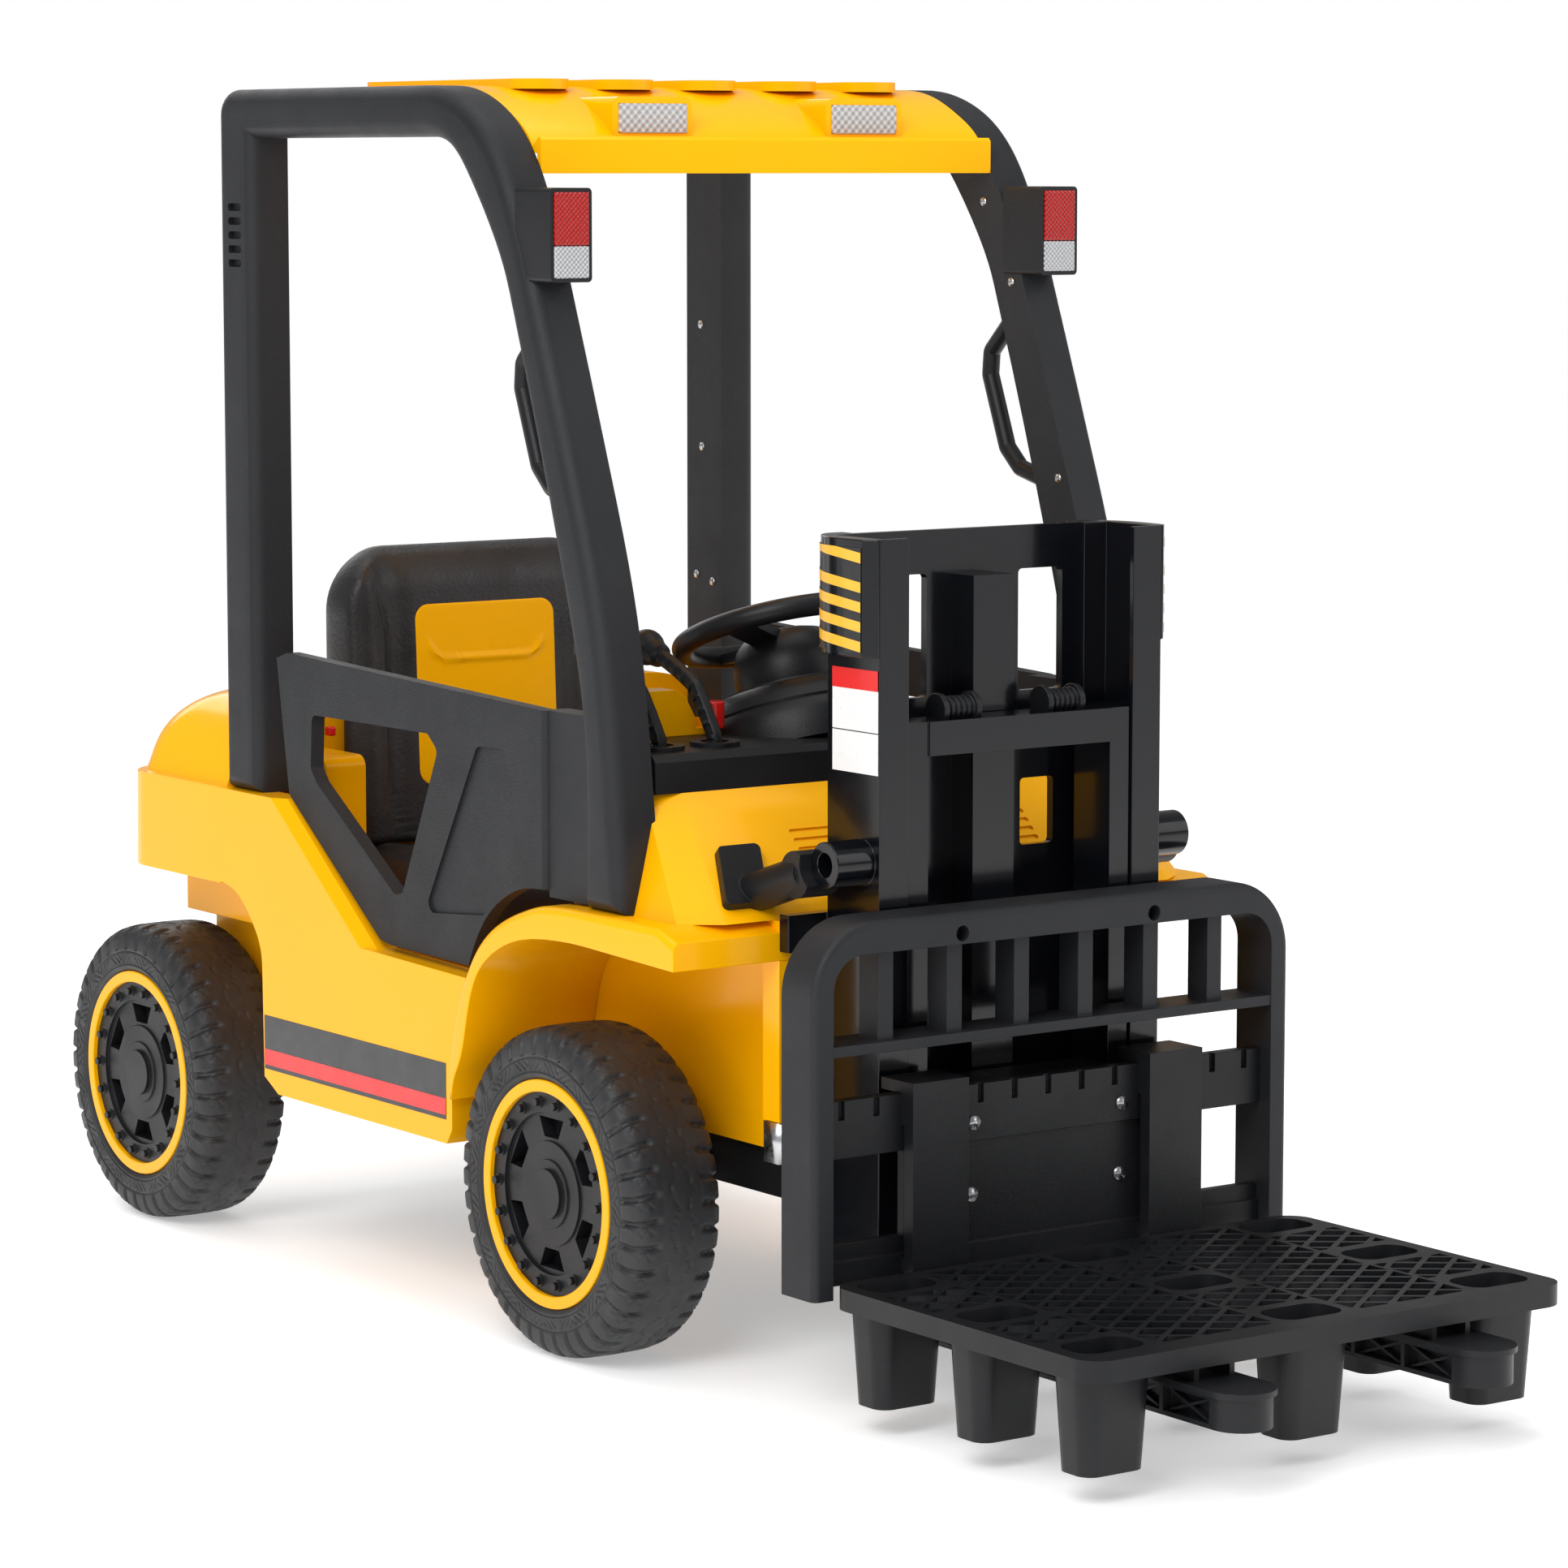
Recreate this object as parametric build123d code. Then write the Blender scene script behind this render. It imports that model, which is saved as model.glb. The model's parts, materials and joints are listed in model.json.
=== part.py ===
from build123d import *
import math
import os

os.makedirs("parts", exist_ok=True)

# ---------------------------------------------------------------- frame
# Millimetres. +Z up, ground at z = 0, forks towards -Y, origin under the
# centre of the bounding box. "Right" is the driver's right, which is -X.
FAR = 900.0
SKIN_CUT = 1.0

# ---------------------------------------------------------------- wheels
TYRE_R = 145.0
TYRE_INNER_FACE = 205.0
TYRE_OUTER_FACE = 300.0
TYRE_SHOULDER = 15.0
BEAD_R = 100.0
RING_INNER_R = 89.0
RING_FACE = 298.4
RING_SEAT = 286.0
RIM_BACK = 214.0
RIM_WALL = 6.0
FLANGE_FACE = 294.0
FLANGE_INNER_R = 71.0
DISH_FACE = 291.0
HUB_R = 46.0
HUB_FACE = 293.0
STEP_R = 30.0
STEP_FACE = 294.5
CAP_R = 22.0
CAP_FACE = 298.0
BOLT_CIRCLE_R = 80.0
BOLT_COUNT = 18
BOLT_R = 3.6
BOLT_HEIGHT = 5.5
WASHER_R = 5.2
WASHER_HEIGHT = 1.4
WINDOW_COUNT = 6
WINDOW_INNER_R = 49.0
WINDOW_OUTER_R = 66.0
WINDOW_INNER_HALF = 11.0
WINDOW_OUTER_HALF = 19.0
WINDOW_DEPTH = 14.0
AXLE_Z = TYRE_R
FRONT_AXLE_Y = -67.0
REAR_AXLE_Y = 673.0
AXLE_R = 10.0
AXLE_END = 278.0
AXLE_END_GAP = 3.0
RUNNING_GAP = 0.08
HUB_TUBE_R = 24.0

# ---------------------------------------------------------------- steering
KINGPIN_X = 180.0
KINGPIN_R = 8.0
KNUCKLE_HALF = 17.0
KNUCKLE_HALF_HEIGHT = 20.0
LUG_THICKNESS = 14.0
LUG_GAP = 0.5
LUG_R = 17.0
LUG_PLATE = 6.0
STEER_ARM_WIDTH = 10.0
STEER_ARM_HALF_HEIGHT = 6.0
STEER_ARM_END = 58.0
STEER_CENTRE_Y = 0.0
STEER_CENTRE_Z = 614.0
STEER_TILT = 20.0
STEER_R = 90.0
STEER_TUBE_R = 10.0
HORN_TOP = -6.0
HORN_TOP_R = 36.0
HORN_LOW = -56.0
HORN_LOW_R = 50.0
SPOKE_WIDTH = 28.0
SPOKE_THICKNESS = 9.0
SPOKE_DROP = -20.0
SPOKE_RISE = 8.0
SPOKE_ANGLES = (0, 120, 240)
COLUMN_R = 12.0
COLUMN_END = -112.0
SHROUD_TOP = -58.0
SHROUD_TOP_R = 74.0
SHROUD_LOW = -112.0
SHROUD_LOW_R = 92.0

# ---------------------------------------------------------------- body
BODY_HALF_WIDTH = 292.0
BODY_SKIN_INNER = 262.0
LEDGE_Z = 442.0
SILL_Z = 162.0
SILL_CHAMFER = 9.0
BULKHEAD_Y = 404.0
PLATE_THICKNESS = 5.0
PANEL_WALL = 6.0
HOOD_BASE_HALF_WIDTH = 291.0
HOOD_REAR_Y = 722.0
HOOD_FRONT_Y = 512.0
HOOD_TOP_Z = 526.0
HOOD_BOTTOM_Z = 350.0
HOOD_CORNER_R = 60.0
# height, half width and rear end of the rounded upper hood
HOOD_DOME = (
    (LEDGE_Z, 283, 716), (460, 277, 713), (480, 270, 706), (500, 258, 690), (515, 240, 668),
    (523, 212, 640), (HOOD_TOP_Z, 180, 610),
)
HOOD_HOLLOW = (250.0, 650.0, 470.0)
FENDER_HALF_WIDTH = 298.0
FENDER_INNER = 160.0
FENDER_TOP_Z = 398.0
FENDER_ROUNDING = 7.0
SHELF_FRONT_Y = -265.0
NOSE_BACK_Y = -241.0
WELL_WALL = 160.0
WELL_REAR_Y = 96.0
FLANGE_HALF_WIDTH = 190.0
FLANGE_BOTTOM_Z = 226.0
COWL_REAR_Y = -60.0
COWL_TOP_Z = 497.0
COWL_WALL = 6.0
COWL_VENTS = 5
COWL_VENT_X = 102.0
COWL_VENT_PITCH = 10.0
COWL_VENT_LENGTH = 50.0
COWL_VENT_WIDTH = 5.0
SLOPE_CENTRE = (0.0, -205.5, 447.5)
SLOPE_NORMAL = (0.0, -0.693, 0.721)
DASH_HALF_WIDTH = 240.0
DASH_FRONT_Y = -154.0
DASH_REAR_Y = -10.0
DASH_TOP_Z = 530.0
DASH_EDGE = 6.0
CONSOLE_FRONT_Y = -34.0
POD_BOX = (-116.0, -91.0, -60.0, -28.0, 536.0, 552.0)

# ---------------------------------------------------------------- cab
TUB_HALF_WIDTH = 254.0
TUB_REAR_Y = 380.0
TUB_RIM_Z = 322.0
FLOOR_Z = 200.0
FLOOR_THICKNESS = 6.0
TUB_WALL = 5.0
ARM_OUTER = 244.5
ARM_INNER = 200.0
ARM_FRONT_Y = 392.0
ARM_BOTTOM_Z = 312.0
ARM_TOP_Z = 478.0
ARM_ROUNDING = 12.0
PEDESTAL_FRONT_Y = 250.0
SEAT_HALF = 158.0
SEAT_BASE_Z = 318.0
SEAT_BACK_FACE_Y = 486.0
SEAT_BACK_REAR_Y = 546.0
SEAT_TOP_Z = 662.0
SEAT_CORNER_R = 62.0
CUSHION_FRONT_Y = 240.0
CUSHION_HEIGHT = 56.0
CUSHION_CORNER_R = 26.0
INSERT_WIDTH = 162.0
INSERT_BOTTOM_Z = 430.0
INSERT_TOP_Z = 607.0
INSERT_CORNER_R = 16.0
INSERT_DEPTH = 18.0

# ---------------------------------------------------------------- chassis
TRAY_HALF_WIDTH = 150.0
TRAY_BOTTOM_Z = 148.0
TRAY_TOP_Z = 190.0
TRAY_FRONT_Y = -262.0
TRAY_REAR_Y = 700.0
TRAY_WALL = 6.0
OUTRIGGER_Y = ((118, 132), (376, 390))
OUTRIGGER_BOTTOM_Z = 168.0
REAR_WELL = 196.0
REAR_WELL_SHELF = 228.0
REAR_WELL_SHELF_Z = 300.0
REAR_WELL_REAR_Y = 692.0
AXLE_BRACKET_OUTER = 176.0
AXLE_BRACKET_BOTTOM_Z = 112.0
GEARBOX_X = (177.0, 204.0)
GEARBOX_Y = (627.0, 713.0)
GEARBOX_Z = (108.0, 184.0)
GEARBOX_ROUNDING = 8.0
BATTERY_BOX = (-75.0, 75.0, 440.0, 540.0, 154.0, 248.0)
PEDAL_Y = -164.0
PEDAL_Z = 214.0
PEDAL_X = (-95.0, -45.0)
PEDAL_LENGTH = 86.0
PEDAL_THICKNESS = 8.0
PEDAL_LEAN = 28.0
PEDAL_PIVOT_R = 6.0

# ---------------------------------------------------------------- roof guard
GUARD_OUTER = 288.0
GUARD_SPLIT = 252.0
GUARD_INNER = 245.0
GUARD_ROUNDING = 15.0
GUARD_TOP_Z = 1098.0
GUARD_RAIL_UNDER_Z = 1053.0
GUARD_BASE_Z = FENDER_TOP_Z
GUARD_CORNER_R = 24.0
GUARD_CORNER_BULGE = 7.0
PANEL_OUTER = 276.0
PANEL_FRONT_Y = -125.0
PANEL_REAR_Y = -28.0
PANEL_TOP_Z = 562.0
REAR_PILLAR_FRONT_Y = 448.0
REAR_PILLAR_REAR_Y = 508.0
CANOPY_HALF_WIDTH = 244.6
CANOPY_WALL = 6.0
CANOPY_REAR_Y = 514.0
VISOR_Y = 13.0
VISOR_BOTTOM_Z = 1021.0
SCREW_R = 4.0
SCREW_PROUD = 0.6
SCREW_DEPTH = 3.0
LINER_SCREWS = ((24, 995), (-18, 922), (-89, 746), (484, 871), (482, 750), (492, 622), (464, 616))
VENT_COUNT = 5
VENT_Z = 934.0
VENT_PITCH = 13.0
VENT_HEIGHT = 7.0
VENT_Y = (462.0, 486.0)
VENT_DEPTH = 5.0
LAMP_OUTER = 285.0
LAMP_INNER = 243.0
LAMP_FACE_Y = -64.0
LAMP_BACK_Y = -8.0
LAMP_BOTTOM_Z = 929.0
LAMP_TOP_Z = 1009.0
LAMP_SPLIT_Z = 960.0
LAMP_RIM = 3.5
LAMP_POCKET = 8.0
LENS_PROUD = 2.0
RIB_X = (-180, -90, 0, 90, 180)
RIB_HALF_WIDTH = 29.0
RIB_Y = (96.0, 380.0)
RIB_HEIGHT = 6.0
RIB_ROUNDING = 24.0
POD_X = 115.0
POD_HALF = 36.0
POD_WALL = 6.0
POD_FACE_Y = 33.0
POD_BACK_Y = 128.0
POD_Z = (1050.0, 1088.0)
HEADLIGHT_Z = (1056.0, 1082.0)
HANDLE_X = 256.0
HANDLE_R = 8.0
HANDLE_BEND_R = 8.0

# ---------------------------------------------------------------- controls
LEVER_X = (-208.0, -150.0)
LEVER_Y = -112.0
LEVER_PIVOT_Z = 512.0
LEVER_PIVOT_R = 8.0
LEVER_PIVOT_HALF = 12.0
LEVER_R = 7.0
LEVER_HOLE_R = 13.0
LEVER_BASE_R = 22.0
LEVER_BASE_HEIGHT = 4.0
CHEEK_GAP = 0.6
KNOB_R = 16.0
BUTTON_X = -103.5
BUTTON_Y = -44.0
BUTTON_R = 9.0
BUTTON_GAP = 0.3
BUTTON_PROUD = 8.0
BUTTON_DEPTH = 16.0

# ---------------------------------------------------------------- doors
HINGE_X = 273.0
HINGE_Y = -36.0
HINGE_R = 7.0
HINGE_GAP = 0.6
HINGE_Z = (406.0, 562.0)
DOOR_INNER = 266.0
DOOR_OUTER = 280.0
DOOR_RECESS = 3.0
WINDOW_CORNER_R = 7.0
RECESS_CORNER_R = 8.0

# ---------------------------------------------------------------- mast and carriage
POST_INNER = 119.5
POST_OUTER = 150.0
POST_FRONT_Y = -352.0
POST_REAR_Y = -278.0
POST_WALL = 6.0
MAST_TOP_Z = 722.0
MAST_BOTTOM_Z = 112.0
BOSS_Y = -327.0
BOSS_Z = 452.0
BOSS_R = 19.5
BOSS_HOLE_R = 10.0
BOSS_HOLE_DEPTH = 22.0
BOSS_END = 188.0
MAST_FLANGES = ((190, 372, 404), (158, 210, 262))
PLATE_FRONT_Y = -282.0
PLATE_REAR_Y = -274.0
# half-window limits: inner x, outer x, bottom z, top z
MAST_WINDOWS = ((49, 97, 580, 685), (52, 88, 446, 504))
MAST_WINDOW_R = 4.0
COLUMN_HALF_WIDTH = 22.0
COLUMN_FRONT_Y = -312.0
COLUMN_TOP_Z = 684.0
SLEEVE_BOTTOM_Z = 624.0
SLEEVE_BACK_Y = -257.0
CYLINDER_R = 17.0
CYLINDER_EYE_R = 20.0
TILT_PLATE_HEIGHT = 9.0
INNER_RAIL_IN = 97.0
INNER_RAIL_OUT = 118.0
INNER_TONGUE_OUT = 138.0
INNER_RAIL_Y = (-349.0, -300.0)
INNER_TONGUE_Y = (-338.0, -312.0)
INNER_TOP_Z = 568.0
INNER_BAR_Z = 539.0
INNER_BOTTOM_Z = 116.0
INNER_BAR_Y = (-351.0, -345.0)
INNER_CAP_THICKNESS = 5.0
INNER_CAP_REAR_Y = -316.0
INNER_FOOT_HEIGHT = 12.0
PULLEY_X = 55.4
PULLEY_Y = -329.0
PULLEY_Z = 575.0
PULLEY_HALF = 20.0
PULLEY_R = 14.0
PULLEY_DRUM_R = 11.0
PULLEY_FLANGE = 6.0
PULLEY_GROOVES = 5
GROOVE_WIDTH = 2.0
GROOVE_PITCH = 5.6
GROOVE_DEPTH = 2.0
BAR_FRONT_Y = -390.0
BAR_REAR_Y = -378.0
CARRIAGE_HALF_WIDTH = 234.0
TOP_BAR_Z = (218.0, 266.0)
BOTTOM_BAR_Z = (112.0, 132.0)
NOTCH_PITCH = 36.0
NOTCH_COUNT = 6
CARRIAGE_SCREW_X = 79.7
CARRIAGE_SCREW_R = 6.0
FORK_INNER_X = 97.0
FORK_OUTER_X = 155.0
FORK_FACE_Y = -406.5
FORK_TOP_Z = 93.0
FORK_BOTTOM_Z = 62.0
FORK_TIP_Y = -818.0
FORK_HOOK_Z = 276.5
FORK_SHANK_Z = 266.5
FORK_LIP = 3.0
FORK_PLATE = 5.0
FORK_BAYS = 6
FORK_BAY_PITCH = 60.0
FORK_BAY_LENGTH = 56.0
FORK_BAY_DEPTH = 9.0
FORK_BRACE = (5.0, 57.0, 2.4)
FORK_BRACE_TILT = 20.0
GUARD_FRAME_HALF = 254.0
GUARD_FRAME_FRONT_Y = -404.0
GUARD_FRAME_REAR_Y = -358.0
GUARD_FRAME_TOP_Z = 415.0
GUARD_FRAME_BOTTOM_Z = 104.0
GUARD_FRAME_UNDER_Z = 388.0
GUARD_FRAME_R = 62.0
GUARD_FRAME_INNER_R = 30.0
GUARD_FRAME_EDGE = 7.0
SLAT_X = (34.2, 104.9, 176.0)
SLAT_HALF = 8.0
SLAT_BAR_Z = (305.0, 314.0)

# ---------------------------------------------------------------- pallet
PALLET_HALF_WIDTH = 250.0
PALLET_FRONT_Y = -761.0
PALLET_REAR_Y = -418.0
PALLET_CORNER_R = 24.0
PALLET_SKIRT = 5.0
DECK_TOP_Z = 122.0
DECK_THICKNESS = 6.0
SKIRT_BOTTOM_Z = 104.0
RUNNER_X = (106.0, 142.0)
RUNNER_HALF = 2.5
LEG_X = 203.0
LEG_ROWS_Y = (-715.0, -582.0, -449.0)
LEG_BOTTOM_Z = 24.0
LEG_SIZE = (74.0, 54.0)
LEG_HOLLOW = (66.0, 42.0)
LEG_TAPER = 4.0
LEG_FLOOR = 4.0
LATTICE_PITCH = (40.0, 30.0)
LATTICE_BAR = 5.0
LATTICE_LONG_X = 102.0
LATTICE_LONG_SIZE = (120.0, 305.0)
LATTICE_SHORT_SIZE = (74.0, 66.0)


# ---------------------------------------------------------------- helpers
def block(x0, x1, y0, y1, z0, z1):
    """Axis-aligned box between two corners."""
    return Pos((x0 + x1) / 2, (y0 + y1) / 2, (z0 + z1) / 2) * Box(
        abs(x1 - x0), abs(y1 - y0), abs(z1 - z0)
    )


def rounded_block(x0, x1, y0, y1, z0, z1, radius, axis):
    """Box whose edges along one axis are rounded."""
    solid = block(x0, x1, y0, y1, z0, z1)
    return fillet(solid.edges().filter_by(axis), radius)


def side_plane(x):
    """Plane at one x for drawing (y, z) outlines."""
    return Plane(origin=(x, 0, 0), x_dir=(0, 1, 0), z_dir=(1, 0, 0))


def extrude_side(sketch, x_start, x_end):
    """Extrude a (y, z) sketch along -X, from |x| = x_start to |x| = x_end."""
    return extrude(side_plane(-x_start) * sketch, amount=x_start - x_end)


def across(sketch, half_width):
    """Extrude a (y, z) sketch symmetrically across the centre plane."""
    return extrude(side_plane(half_width) * sketch, amount=-2 * half_width)


def polygon(points):
    """Closed straight-sided sketch."""
    return make_face(Polyline(*points, close=True))


def other_side(solid):
    """Mirror a right-hand piece to the left."""
    return mirror(solid, about=Plane.YZ)


def both_sides(solid):
    """A right-hand piece together with its mirror image."""
    return solid + other_side(solid)


def rod_x(x0, x1, y, z, radius):
    """Cylinder along X."""
    return Pos((x0 + x1) / 2, y, z) * Rot(0, 90, 0) * Cylinder(radius, abs(x1 - x0))


def rod_y(x, y0, y1, z, radius):
    """Cylinder along Y."""
    return Pos(x, (y0 + y1) / 2, z) * Rot(90, 0, 0) * Cylinder(radius, abs(y1 - y0))


def rod_z(x, y, z0, z1, radius):
    """Cylinder along Z."""
    return Pos(x, y, (z0 + z1) / 2) * Cylinder(radius, z1 - z0)


def rod_between(start, end, radius):
    """Cylinder between two points."""
    direction = Vector(*end) - Vector(*start)
    plane = Plane(origin=start, z_dir=direction)
    return extrude(plane * Circle(radius), amount=direction.length)


def swept(points, radius, corner):
    """Round bar along a run of straight lengths joined by bends."""
    path = FilletPolyline(*points, radius=corner)
    start = Plane(origin=path @ 0, z_dir=path % 0)
    return sweep(start * Circle(radius), path=path)


def main_solid(shape):
    """Largest solid of a cut shape, without its offcuts."""
    return max(shape.solids(), key=lambda solid: solid.volume)


def save(name, shape):
    """Write one sub-part."""
    solids = shape.solids()
    result = solids[0] if len(solids) == 1 else Compound(children=list(solids))
    export_step(result, f"parts/{name}.step")


def save_pair(name, shape):
    """Write a right-hand piece and its mirror image."""
    save(f"{name}_right", shape)
    save(f"{name}_left", other_side(shape))


def save_group(name, solids):
    """Write several like pieces as one node."""
    save(name, Compound(children=list(solids)))


# ---------------------------------------------------------------- wheels
def wheel_profile(points):
    """Revolve an (axial, radial) outline about the X axis, out towards -X."""
    return revolve(polygon([(-a, r) for a, r in points]), axis=Axis.X)


def make_tyre():
    tyre = wheel_profile([
        (TYRE_INNER_FACE, BEAD_R), (TYRE_INNER_FACE, TYRE_R),
        (TYRE_OUTER_FACE, TYRE_R), (TYRE_OUTER_FACE, BEAD_R),
    ])
    shoulders = [e for e in tyre.edges().filter_by(GeomType.CIRCLE) if e.radius > TYRE_R - 1]
    return fillet(shoulders, TYRE_SHOULDER)


def make_rim():
    """Rim barrel with a bolted flange, a dished disc with windows and a stepped hub."""
    inner = BEAD_R - RIM_WALL
    web_back = DISH_FACE - WINDOW_DEPTH - RIM_WALL
    bore = AXLE_R + RUNNING_GAP
    bore_end = AXLE_END + AXLE_END_GAP
    rim = wheel_profile([
        (RIM_BACK, inner), (RIM_BACK, BEAD_R), (RING_SEAT, BEAD_R), (RING_SEAT, RING_INNER_R),
        (FLANGE_FACE, RING_INNER_R), (FLANGE_FACE, FLANGE_INNER_R), (DISH_FACE, FLANGE_INNER_R),
        (DISH_FACE, HUB_R), (HUB_FACE, HUB_R), (HUB_FACE, STEP_R), (STEP_FACE, STEP_R),
        (STEP_FACE, CAP_R), (CAP_FACE, CAP_R), (CAP_FACE, 0), (bore_end, 0), (bore_end, bore),
        (RIM_BACK, bore), (RIM_BACK, HUB_TUBE_R), (web_back, HUB_TUBE_R), (web_back, inner),
    ])
    window = polygon([
        (-WINDOW_INNER_HALF, WINDOW_INNER_R), (-WINDOW_OUTER_HALF, WINDOW_OUTER_R),
        (WINDOW_OUTER_HALF, WINDOW_OUTER_R), (WINDOW_INNER_HALF, WINDOW_INNER_R),
    ])
    dish = Plane(origin=(-DISH_FACE, 0, 0), x_dir=(0, 1, 0), z_dir=(-1, 0, 0))
    for step in range(WINDOW_COUNT):
        turn = Rot(0, 0, 360 * step / WINDOW_COUNT)
        rim -= extrude(dish * turn * window, amount=-WINDOW_DEPTH)
    flange = Plane(origin=(-FLANGE_FACE, 0, 0), x_dir=(0, 1, 0), z_dir=(-1, 0, 0))
    for step in range(BOLT_COUNT):
        spot = flange * Rot(0, 0, 360 * (step + 0.5) / BOLT_COUNT) * Pos(0, BOLT_CIRCLE_R)
        rim += extrude(spot * Circle(WASHER_R), amount=WASHER_HEIGHT)
        rim += extrude(spot * Circle(BOLT_R), amount=BOLT_HEIGHT)
    return rim


def make_ring():
    return wheel_profile([
        (RING_SEAT, RING_INNER_R), (RING_SEAT, BEAD_R), (RING_FACE, BEAD_R),
        (RING_FACE, RING_INNER_R),
    ])


def make_knuckle():
    """Steering block on a kingpin, with the stub axle that the front wheel turns on."""
    body = block(-KINGPIN_X - KNUCKLE_HALF, -KINGPIN_X + KNUCKLE_HALF,
                 FRONT_AXLE_Y - KNUCKLE_HALF, FRONT_AXLE_Y + KNUCKLE_HALF,
                 AXLE_Z - KNUCKLE_HALF_HEIGHT, AXLE_Z + KNUCKLE_HALF_HEIGHT)
    pin_half = KNUCKLE_HALF_HEIGHT + LUG_GAP + LUG_THICKNESS
    pin = rod_z(-KINGPIN_X, FRONT_AXLE_Y, AXLE_Z - pin_half, AXLE_Z + pin_half, KINGPIN_R)
    stub = rod_x(-AXLE_END, -KINGPIN_X, FRONT_AXLE_Y, AXLE_Z, AXLE_R)
    arm = block(-KINGPIN_X, -KINGPIN_X + STEER_ARM_WIDTH,
                FRONT_AXLE_Y + KNUCKLE_HALF - 1, FRONT_AXLE_Y + STEER_ARM_END,
                AXLE_Z - STEER_ARM_HALF_HEIGHT, AXLE_Z + STEER_ARM_HALF_HEIGHT)
    return body + pin + stub + arm


tyre, rim, ring = make_tyre(), make_rim(), make_ring()
for corner, axle_y in (("front", FRONT_AXLE_Y), ("rear", REAR_AXLE_Y)):
    place = Pos(0, axle_y, AXLE_Z)
    save_pair(f"tyre_{corner}", place * tyre)
    save_pair(f"rim_{corner}", place * rim)
    save_pair(f"ring_{corner}", place * ring)
save_pair("knuckle", make_knuckle())


# ---------------------------------------------------------------- roof guard
def guard_outline():
    """Side view of one roof-guard frame: rear pillar, rail and curved front pillar."""
    rear = REAR_PILLAR_REAR_Y
    top = GUARD_TOP_Z
    under = GUARD_RAIL_UNDER_Z
    base = GUARD_BASE_Z
    lean = (0.35, 0.937)
    corner = GUARD_CORNER_R
    bulge = GUARD_CORNER_BULGE
    return make_face([
        Line((rear, LEDGE_Z), (rear, top - corner)),
        ThreePointArc((rear, top - corner), (rear - bulge, top - bulge), (rear - corner, top)),
        Line((rear - corner, top), (152, top)),
        Spline((152, top), (98, 1090), (57, 1071), (24, 1041), (-34, 927), (-104, 743),
               tangents=[(-1, 0), (-lean[0], -lean[1])]),
        Spline((-104, 743), (-141, 621), (-157, 511), (-168, base),
               tangents=[(-lean[0], -lean[1]), (-0.05, -1)]),
        Line((-168, base), (-110, base)),
        Spline((-110, base), (-106, 560), (-73, 687), (8, 920), tangents=[(0, 1), lean]),
        Spline((8, 920), (30, 962), (74, 1020), (143, under), tangents=[lean, (1, 0)]),
        Polyline((143, under), (REAR_PILLAR_FRONT_Y, under), (REAR_PILLAR_FRONT_Y, LEDGE_Z),
                 (rear, LEDGE_Z)),
    ])


def hinge_rod(radius, z0, z1):
    """Cylinder on the door's hinge axis."""
    return rod_z(-HINGE_X, HINGE_Y, z0, z1, radius)


def side_panel():
    """Flat panel between the front pillar and the door, with the hinge socket."""
    bottom = GUARD_BASE_Z + 2
    panel = block(-PANEL_OUTER, -GUARD_SPLIT, PANEL_FRONT_Y, PANEL_REAR_Y, bottom, PANEL_TOP_Z)
    panel = fillet(panel.edges().filter_by(Axis.X).sort_by(Axis.Z)[-2:], 10)
    socket = hinge_rod(HINGE_R + HINGE_GAP, bottom - 1, PANEL_TOP_Z + 1)
    door_way = block(-PANEL_OUTER - 1, -DOOR_INNER + 1, HINGE_Y, 0, bottom - 1, PANEL_TOP_Z + 1)
    return panel - socket - door_way


guard = extrude_side(guard_outline(), GUARD_SPLIT, GUARD_OUTER)
guard = fillet([e for e in guard.edges() if e.center().X < -GUARD_OUTER + 0.01], GUARD_ROUNDING)
guard += side_panel()
for index in range(VENT_COUNT):
    slot_z = VENT_Z + VENT_PITCH * index
    guard -= rounded_block(-GUARD_OUTER - 1, -GUARD_OUTER + VENT_DEPTH, *VENT_Y,
                           slot_z, slot_z + VENT_HEIGHT, 3, Axis.X)
liner = extrude_side(guard_outline(), GUARD_INNER, GUARD_SPLIT)
screws = [rod_x(-GUARD_INNER - SCREW_DEPTH, -GUARD_INNER + SCREW_PROUD, y, z, SCREW_R)
          for y, z in LINER_SCREWS]
for screw in screws:
    liner -= screw
handle = swept([(-HANDLE_X, -40, 896), (-HANDLE_X, -20, 900), (-HANDLE_X, 24, 858), (-HANDLE_X, 26, 836),
                (-HANDLE_X, 0, 770), (-HANDLE_X, -20, 752), (-HANDLE_X, -60, 742)],
               HANDLE_R, HANDLE_BEND_R)
handle -= guard + liner
save_group("body_screws", screws + [other_side(screw) for screw in screws])
save_pair("guard", guard)
save_pair("guard_liner", liner)
save_group("grab_handles", [main_solid(handle), other_side(main_solid(handle))])


# ---------------------------------------------------------------- pillar lamps
def lamp_fill(front_y, z0, z1):
    """Block that fills the mouth of a pillar lamp between two heights."""
    return block(-LAMP_OUTER + LAMP_RIM, -LAMP_INNER - LAMP_RIM,
                 front_y, LAMP_FACE_Y + LAMP_POCKET, z0, z1)


housing = rounded_block(-LAMP_OUTER, -LAMP_INNER, LAMP_FACE_Y, LAMP_BACK_Y,
                        LAMP_BOTTOM_Z, LAMP_TOP_Z, 4, Axis.Y)
housing -= lamp_fill(LAMP_FACE_Y - 1, LAMP_BOTTOM_Z + LAMP_RIM, LAMP_TOP_Z - LAMP_RIM)
housing -= guard + liner
lens_front = LAMP_FACE_Y - LENS_PROUD
lenses = [lamp_fill(lens_front, LAMP_SPLIT_Z, LAMP_TOP_Z - LAMP_RIM),
          lamp_fill(lens_front, LAMP_BOTTOM_Z + LAMP_RIM, LAMP_SPLIT_Z - 0.2)]
save_group("lamp_housings", [main_solid(housing), other_side(main_solid(housing))])
save_group("lamp_lenses", lenses + [other_side(lens) for lens in lenses])


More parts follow.
